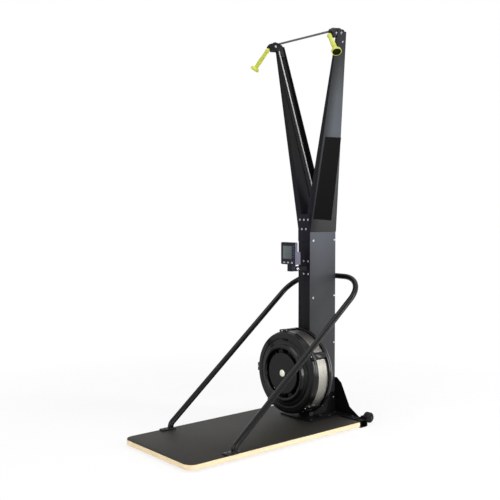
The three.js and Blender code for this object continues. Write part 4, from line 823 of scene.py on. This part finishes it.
for side, sign in both_sides:
    bm = bmesh.new()
    rings = []
    for far, short, long in grip_rings:
        base = grip_head + grip_along * far
        if short == 0:
            rings.append([bm.verts.new(base)])
            continue
        one_way, other_way = grip_third * short, grip_across * long
        ring = [base + one_way * math.cos(t) + other_way * math.sin(t) for t in grip_turns]
        rings.append([bm.verts.new(spot) for spot in ring])
    skin(bm, rings)
    # Painted shade: the cup's inner wall and floor take the dark olive finish.
    shaded_cup_verts = {v for ring in rings[-shaded_cup_rings:] for v in ring}
    for face in bm.faces:
        if all(v in shaded_cup_verts for v in face.verts):
            face.material_index = 1
    if sign < 0:
        bmesh.ops.scale(bm, vec=(-1, 1, 1), verts=bm.verts)
    put(f"grip_{side}", bm, [lime, cup_shade_finish], f"handle_{side}", [f"handle_{side}"], smooth=50)

# The cord's visible end: the same braided cord, from the housing's mouth to its knot inside the grip.
# It runs straight from the one to the other and hangs on no body.
tail_rings = 40
tail_in_grip = 0.0120
for side, sign in both_sides:
    mouth = Vector((sign * cord_crown[-1][0], *cord_crown[-1][1:]))
    head = Vector((sign * grip_head.x, grip_head.y, grip_head.z))
    knot = head + (mouth - head).normalized() * tail_in_grip
    tail_points = [mouth.lerp(knot, i / tail_rings) for i in range(tail_rings + 1)]
    tail = tube(tail_points, cord_radius, cord_sides)
    tail = put(f"cord_tail_{side}", tail, braid, None, [f"handle_cord_{side}"])
    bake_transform(tail)

# The fan's front cover: a glossy black moulding with a raised lip round the air inlet, a groove, and
# five lugs at its rim that take the long screws. Inside the inlet, spokes carry the middle boss.
gloss_plastic = coated(
    "gloss_black_plastic", "black_plastic", shade(8, 8, 8), shade(11, 11, 12), 0.2, grain=500,
    depth=0.00001, specular=0.24,
)
fan_z = joints["fan_spin"]["pos_m"][2]
fan_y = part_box("fan_front_cover")[0].y
fan_centre = (0, fan_y, fan_z)
cover_radius, cover_back = 0.236, 0.061
lug_radius, lug_half_wide, lug_front = 0.012, 0.025, 0.030
rib_half_wide, rib_foot, rib_front, rib_back = 0.0215, 0.0008, 0.051, 0.1323
lug_angles = (352, 60, 138, 216, 270)
cover_profile = [
    (0.1390, 0.0260), (0.1390, 0.0090), (0.1425, 0.0030), (0.1470, 0.0), (0.1560, 0.0004),
    (0.1592, 0.0014), (0.1660, 0.0160), (0.1780, 0.0166), (0.1865, 0.0172), (0.1865, 0.0230),
    (0.1955, 0.0230), (0.1970, 0.0200), (0.2245, 0.0212), (0.2310, 0.0265), (0.2325, 0.0330),
    (0.2325, 0.0395), (0.2345, 0.0405), (0.2360, 0.0430), (0.2360, 0.0610), (0.2330, 0.0610),
    (0.2330, 0.0440), (0.2290, 0.0330), (0.2220, 0.0260), (0.1835, 0.0260), (0.1835, 0.0195),
    (0.1650, 0.0180), (0.1540, 0.0045), (0.1425, 0.0120), (0.1420, 0.0260),
]


def box_piece(low, high, edge):
    """A block between two corners, with its edges rounded."""
    points = [(low[0], low[1]), (high[0], low[1]), (high[0], high[1]), (low[0], high[1])]
    return slab(points, low[2], high[2], edge)


def round_the_fan(bm, angle):
    """Turns a piece round the fan's axis."""
    to_axis = Matrix.Translation(fan_centre)
    spin = to_axis @ Matrix.Rotation(angle, 4, "Y") @ to_axis.inverted()
    bmesh.ops.transform(bm, matrix=spin, verts=bm.verts)
    return bm


cover_parts = [turned(eased(cover_profile, 0.0026, 5), "y", fan_centre, 144)]
boss_profile = [(0.0108, 0.0100), (0.0340, 0.0075), (0.0340, 0.0290), (0.0108, 0.0290)]
cover_parts.append(turned(eased(boss_profile, 0.001, 2), "y", fan_centre, 64))
spokes, spoke_half_wide = 5, 0.0055
spoke_front, spoke_back, spoke_inner, spoke_outer = 0.0200, 0.0260, 0.030, 0.1405
for i in range(spokes):
    spoke = box_piece(
        (-spoke_half_wide, fan_y + spoke_front, fan_z + spoke_inner),
        (spoke_half_wide, fan_y + spoke_back, fan_z + spoke_outer),
        0.0012,
    )
    cover_parts.append(round_the_fan(spoke, 2 * math.pi * (i + 0.5) / spokes))
y_and_z_swapped = Matrix(((1, 0, 0, 0), (0, 0, 1, 0), (0, 1, 0, 0), (0, 0, 0, 1)))
for angle in lug_angles:
    turn = math.radians(angle)
    base = box_piece(
        (-lug_half_wide, fan_y + lug_front, fan_z + cover_radius - lug_radius),
        (lug_half_wide, fan_y + cover_back, fan_z + cover_radius + lug_radius),
        0.0055,
    )
    cover_parts.append(round_the_fan(base, turn))
    rib_outline = [
        (x * rib_half_wide, fan_z + cover_radius - rib_foot + z * (lug_radius + rib_foot))
        for x, z in arc((0, 0), 1, 0, 2, 24)
    ]
    rib = slab(rib_outline, fan_y + rib_front, fan_y + rib_back, 0.002)
    bmesh.ops.transform(rib, matrix=y_and_z_swapped, verts=rib.verts)
    cover_parts.append(round_the_fan(rib, turn))
put("fan_cover", joined(cover_parts), gloss_plastic, stands_for=["fan_front_cover"], smooth=38)

lug_spots = []
screw_circle = cover_radius + 0.003
for turn in map(math.radians, lug_angles):
    x, z = math.sin(turn) * screw_circle, math.cos(turn) * screw_circle
    lug_spots.append((x, fan_y + lug_front, fan_z + z))
bolts("fan_lug_bolts", lug_spots, (0, -1, 0), 0.0032)

# The band between the covers: thin silver steel sheet with rows of slanting holes for the air, rolled
# into a ring and clamped between the front cover and the rear one.
silver = Finish("silver_mesh", "silver_mesh", metallic=1.0, roughness=0.36)
silver_grain = silver.cloud(240, 3, stretch=(1, 0.1, 1))
# Painted shade: the band is darker towards its top.
silver_top_shade = silver.ramp(silver.along(2), 0.38, 0.53)
silver_tone = silver.blend(silver_grain, shade(146, 144, 137), shade(178, 175, 166))
silver.set(
    base_color=silver.blend(silver_top_shade, silver_tone, shade(92, 91, 88)),
    roughness=0.36 + silver_grain * 0.14,
)
silver.relief(silver_grain, 0.00008)
band_low, band_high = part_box("fan_mesh_band")
band_columns, band_rows, band_margin = 180, 8, 0.0045
band_radius, band_sheet = 0.2351, 0.0009
hole_share = 0.3
hole_tilt = 0.12


def band():
    """The rolled band as one layer: a margin on each side, and cells with a hole in each between them."""
    bm = bmesh.new()
    width = band_high.y - band_low.y
    row_height = (width - 2 * band_margin) / band_rows
    cell = 2 * math.pi / band_columns

    def spot(column, along):
        x, z = band_radius * math.sin(column * cell), band_radius * math.cos(column * cell)
        return bm.verts.new((x, band_low.y + along, fan_z + z))

    edges = [0.0] + [band_margin + row_height * j for j in range(band_rows + 1)] + [width]
    grid = [[spot(i, along) for i in range(band_columns)] for along in edges]
    for j in range(len(edges) - 1):
        for i in range(band_columns):
            k = (i + 1) % band_columns
            corners = (grid[j][i], grid[j][k], grid[j + 1][k], grid[j + 1][i])
            if j in (0, len(edges) - 2):
                bm.faces.new(corners)
                continue
            middle_along = (edges[j] + edges[j + 1]) / 2
            reach = row_height * hole_share
            tilt = hole_tilt if j % 2 else -hole_tilt
            ring = [
                spot(i + 0.5 - hole_share, middle_along - reach * (0.5 + tilt)),
                spot(i + 0.5 + hole_share, middle_along - reach * (0.5 - tilt)),
                spot(i + 0.5 + hole_share, middle_along + reach * (0.5 + tilt)),
                spot(i + 0.5 - hole_share, middle_along + reach * (0.5 - tilt)),
            ]
            for n in range(4):
                m = (n + 1) % 4
                bm.faces.new((corners[n], corners[m], ring[m], ring[n]))
    return bm


mesh_band = put("mesh_band", band(), silver, stands_for=["fan_mesh_band"])
thickened = mesh_band.modifiers.new("sheet", "SOLIDIFY")
thickened.thickness = band_sheet
thickened.offset = 0

# The rear cover and its ring: a glossy black dish, moulded in one piece and bolted to the mast's
# front. Its rim holds the band.
rear_low, rear_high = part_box("fan_rear_cover")
rear_front = rear_low.y - fan_y
rear_back = rear_high.y - fan_y
rear_profile = [
    (0.015, rear_back - 0.003), (0.227, rear_back - 0.003), (0.233, rear_front + 0.015),
    (0.233, rear_front), (0.248, rear_front), (0.248, rear_front + 0.018), (0.230, rear_back),
    (0.015, rear_back),
]
dish = turned(eased(rear_profile, 0.0035, 4), "y", fan_centre, 128)
put("fan_rear_dish", dish, gloss_plastic, stands_for=["fan_rear_cover"], smooth=38)

# The disc and its cap in the inlet: a flat disc of dark plastic, stepped at its edge and round its
# middle, and a domed cream cap pressed into it.
disc_finish = coated("disc_plastic", "disc_plastic", shade(30, 30, 31), shade(36, 36, 37), 0.42)
disc_profile = [
    (0, 0.0030), (0.030, 0.0030), (0.031, 0.0027), (0.033, 0.0027), (0.034, 0.0030), (0.1110, 0.0030),
    (0.1120, 0.0027), (0.1145, 0.0029), (0.1160, 0.0048), (0.1160, 0.0067), (0, 0.0067),
]
disc = turned(eased(disc_profile, 0.0012, 3), "y", fan_centre, 96)
put("inlet_disc", disc, disc_finish, stands_for=["fan_front_disc"])
cream = Finish(
    "cream_cap", "cream_plastic", roughness=0.3, specular=0.5, coat_weight=0.6, coat_roughness=0.2
)
cream_slow = cream.cloud(60, 2)
cream.set(base_color=cream.blend(cream_slow, shade(246, 250, 226), shade(252, 254, 238)))
cream.relief(cream.cloud(900, 2), 0.00008)
cap_low, cap_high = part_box("hub_cap")
cap_front, cap_back = cap_low.y - fan_y, cap_high.y - fan_y
cap_profile = [
    (0, cap_front), (0.0105, cap_front + 0.0004), (0.0165, cap_front + 0.0017),
    (0.0194, cap_front + 0.0036), (0.0200, cap_front + 0.0048), (0.0200, cap_back), (0, cap_back),
]
cap = turned(cap_profile, "y", fan_centre, 64)
put("hub_cap_cream", cap, cream, stands_for=["hub_cap"], smooth=50)

# What lies inside the fan and the mast: the rotor of moulded grey plastic, the black damper ring, and
# the shaft, drums and bearing of turned steel. They keep the shapes of their solids.
steel = grained(
    "machined_steel", "steel", (500, 2, (1, 8, 1)), shade(170, 171, 173), shade(204, 205, 207),
    0.26, 0.18, 0.00005, metallic=1.0,
)
for node, finish in (
    ("fan_rotor", grey_plastic), ("fan_shaft", steel), ("damper_ring", black_plastic),
    ("drive_drum_left", steel), ("drive_drum_right", steel), ("rear_bearing", steel),
):
    materials = frame["nodes"][node].data.materials
    materials.clear()
    materials.append(finish.material)

# The elastic return cord: rubber in a black sheath, 8 mm thick, stretched inside the mast as an
# upside-down U over its roller, from one drum to the other.
bungee_low, bungee_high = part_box("return_bungee")
bungee_radius = 0.004
bungee_steps = 24
bungee_x = (bungee_low.x + bungee_high.x) / 2
leg_front, leg_rear = bungee_low.y + bungee_radius, bungee_high.y - bungee_radius
bend = (leg_rear - leg_front) / 2
turn_z = bungee_high.z - bungee_radius - bend
bungee_route = arc(((leg_front + leg_rear) / 2, turn_z), bend, 2, 0, bungee_steps)
bungee_route = [(leg_front, bungee_low.z), *bungee_route, (leg_rear, bungee_low.z)]
bungee = tube([(bungee_x, y, z) for y, z in bungee_route], bungee_radius, 16)
put("elastic_cord", bungee, rubber, stands_for=["return_bungee"])

# The guard rail: one bent steel tube in a glossy black coat, round the standing place. It is welded
# to a flat foot on each side of the board, and one bolt holds each foot down.
rail_x, rail_radius = 0.2795, 0.016
rail_foot_y, rail_knee_z = -0.37515, 0.0675
rail_bar_y, rail_bar_z = 0.60015, 0.855
rail_knee_radius, rail_bend_radius = 0.038, 0.178
rail_flange, rail_gap = 0.006, 0.0003


def rounded_route(points, radii, steps):
    """The route through the points, with each corner bent to its own radius."""
    points = [Vector(p) for p in points]
    route = [points[0]]
    for i in range(1, len(points) - 1):
        back = (points[i - 1] - points[i]).normalized()
        ahead = (points[i + 1] - points[i]).normalized()
        half = back.angle(ahead) / 2
        centre = points[i] + (back + ahead).normalized() * radii[i - 1] / math.sin(half)
        start = points[i] + back * radii[i - 1] / math.tan(half)
        axis = ahead.cross(back).normalized()
        sweep = math.pi - 2 * half
        for k in range(steps + 1):
            turn = Matrix.Rotation(sweep * k / steps, 3, axis)
            route.append(centre + turn @ (start - centre))
    route.append(points[-1])
    return route


deck_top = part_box("platform_mat")[1].z + rail_gap
rail_points = [
    (-rail_x, rail_foot_y, deck_top + rail_flange / 2),
    (-rail_x, rail_foot_y, rail_knee_z),
    (-rail_x, rail_bar_y, rail_bar_z),
    (rail_x, rail_bar_y, rail_bar_z),
    (rail_x, rail_foot_y, rail_knee_z),
    (rail_x, rail_foot_y, deck_top + rail_flange / 2),
]
rail_coat = coated("rail_powder_coat", "frame", shade(9, 9, 9), shade(12, 12, 12), 0.24, specular=0.18)
rail_radii = (rail_knee_radius, rail_bend_radius, rail_bend_radius, rail_knee_radius)
rail_parts = [tube(rounded_route(rail_points, rail_radii, 16), rail_radius, 32)]
foot_half_wide, foot_half_long, foot_corner = 0.021, 0.044, 0.006
foot_middle, foot_bolt = rail_foot_y - 0.019, rail_foot_y - 0.038
for sign in (-1, 1):
    foot_x = sign * rail_x
    outline = []
    for ex, ey, start in ((1, -1, -1), (1, 1, 0), (-1, 1, 1), (-1, -1, 2)):
        corner_x = foot_x + ex * (foot_half_wide - foot_corner)
        corner_y = foot_middle + ey * (foot_half_long - foot_corner)
        outline += arc((corner_x, corner_y), foot_corner, start, start + 1, 6)
    rail_parts.append(slab(outline, deck_top, deck_top + rail_flange, 0.0008))
    weld = [
        (rail_radius - 0.001, 0), (rail_radius + 0.0035, 0), (rail_radius + 0.0028, 0.0018),
        (rail_radius + 0.0012, 0.0030), (rail_radius - 0.001, 0.0045),
    ]
    weld_foot = (foot_x, rail_foot_y, deck_top + rail_flange - 0.0002)
    rail_parts.append(turned(weld, "z", weld_foot, 40))
put("guard_tube", joined(rail_parts), rail_coat, stands_for=["guard_rail"], smooth=38)
rail_spots = [(x, foot_bolt, deck_top + rail_flange) for x in (-rail_x, rail_x)]
bolts("rail_foot_bolts", rail_spots, (0, 0, 1), 0.0088, finish=black_zinc)

# The monitor bracket: two ears and a flange of black steel plate, bolted to the mast's front by four
# bolts. The pin that the monitor tilts on has a bright head on each ear.
dressed("monitor_bracket_coated", "monitor_bracket", front_coat, 0.0006)
flange_sheet, pin_half_long = 0.003, 0.0208
flange_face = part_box("monitor_bracket")[1].y - flange_sheet
bracket_spots = [(x, flange_face, z) for x in (0.0, 0.036) for z in (0.876, 0.950)]
bolts("bracket_bolts", bracket_spots, (0, -1, 0), 0.0038)
pivot = Vector(joints["monitor_tilt"]["pos_m"])
pin_half = Vector((pin_half_long, 0, 0))
bolts("pivot_head_right", [pivot + pin_half], (1, 0, 0), 0.006)
bolts("pivot_head_left", [pivot - pin_half], (-1, 0, 0), 0.006)

# The monitor: a dark moulded front frame and back, with a dark lug under it, a grey-green display behind a
# clear pane, and rubber keys, three light ones below and five dark ones beside it. The back and the frame's
# side faces are painted lilac grey as the highlight of the light from the right.
shell_plastic = coated("monitor_shell", "dark_plastic", shade(24, 24, 33), shade(31, 30, 42), 0.42)
back_plastic = Finish("monitor_back_shell", "dark_plastic", specular=0.12)
back_fine = back_plastic.cloud(1300, 2)
# Painted highlight: the lilac grey stands for the light from the right on dark plastic.
back_painted_highlight = back_plastic.blend(back_fine, shade(98, 96, 112), shade(112, 109, 128))
lug_tone = back_plastic.blend(back_fine, shade(22, 22, 32), shade(30, 29, 41))
lug = back_plastic.along(2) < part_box("monitor_front")[0].z - 0.0005
back_plastic.set(
    base_color=back_plastic.blend(lug, back_painted_highlight, lug_tone),
    roughness=0.42 + back_fine * 0.08,
)
back_plastic.relief(back_fine, 0.00012)
front_frame = dressed("monitor_frame", "monitor_front", [shell_plastic, back_plastic], 0.0010, "monitor")
# Painted highlight: the frame's side faces take the lilac back finish.
for face in front_frame.data.polygons:
    if abs(face.normal.x) > 0.8:
        face.material_index = 1
dressed("monitor_case", "monitor_back", back_plastic, 0.0012, "monitor")
display = Finish("display", "screen", roughness=0.16, specular=0.5, coat_weight=0.6, coat_roughness=0.05)
lens_low, lens_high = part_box("monitor_lens")
across = (display.along(0) - lens_low.x) / (lens_high.x - lens_low.x)
up = (display.along(2) - lens_low.z) / (lens_high.z - lens_low.z)
rim_from, display_rows, display_columns = 0.46, 4, 6
edge_band = (across - 0.5).size().at_least((up - 0.5).size()) > rim_from
row, cell = (up * display_rows).part(), (across * display_columns).part()
ghost = ((row - 0.5).size() < 0.36) * ((cell - 0.5).size() < 0.40) * 0.10
glass = display.blend(up, shade(46, 62, 62), shade(62, 76, 79))
glass = display.blend(ghost, glass, shade(32, 46, 45))
display.set(base_color=display.blend(edge_band, glass, shade(30, 34, 36)))
dressed("display_pane", "monitor_lens", display, 0.0003, "monitor")
light_key = coated("light_key", "button_light", shade(160, 164, 174), shade(178, 181, 190), 0.6, grain=900)
dark_key = coated("dark_key", "button_dark", shade(58, 62, 82), shade(70, 74, 96), 0.6, grain=900)
keys = [(f"under_{i}", light_key) for i in (1, 2, 3)] + [(f"side_{i}", dark_key) for i in (1, 2, 3, 4, 5)]
for key, finish in keys:
    dressed(f"key_{key}", f"button_{key}", finish, 0.0010, f"button_{key}")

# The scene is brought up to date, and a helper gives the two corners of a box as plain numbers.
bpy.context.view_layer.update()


def plain(bounds):
    """The two corners of a box as lists of plain numbers."""
    return [[float(value) for value in corner] for corner in bounds]
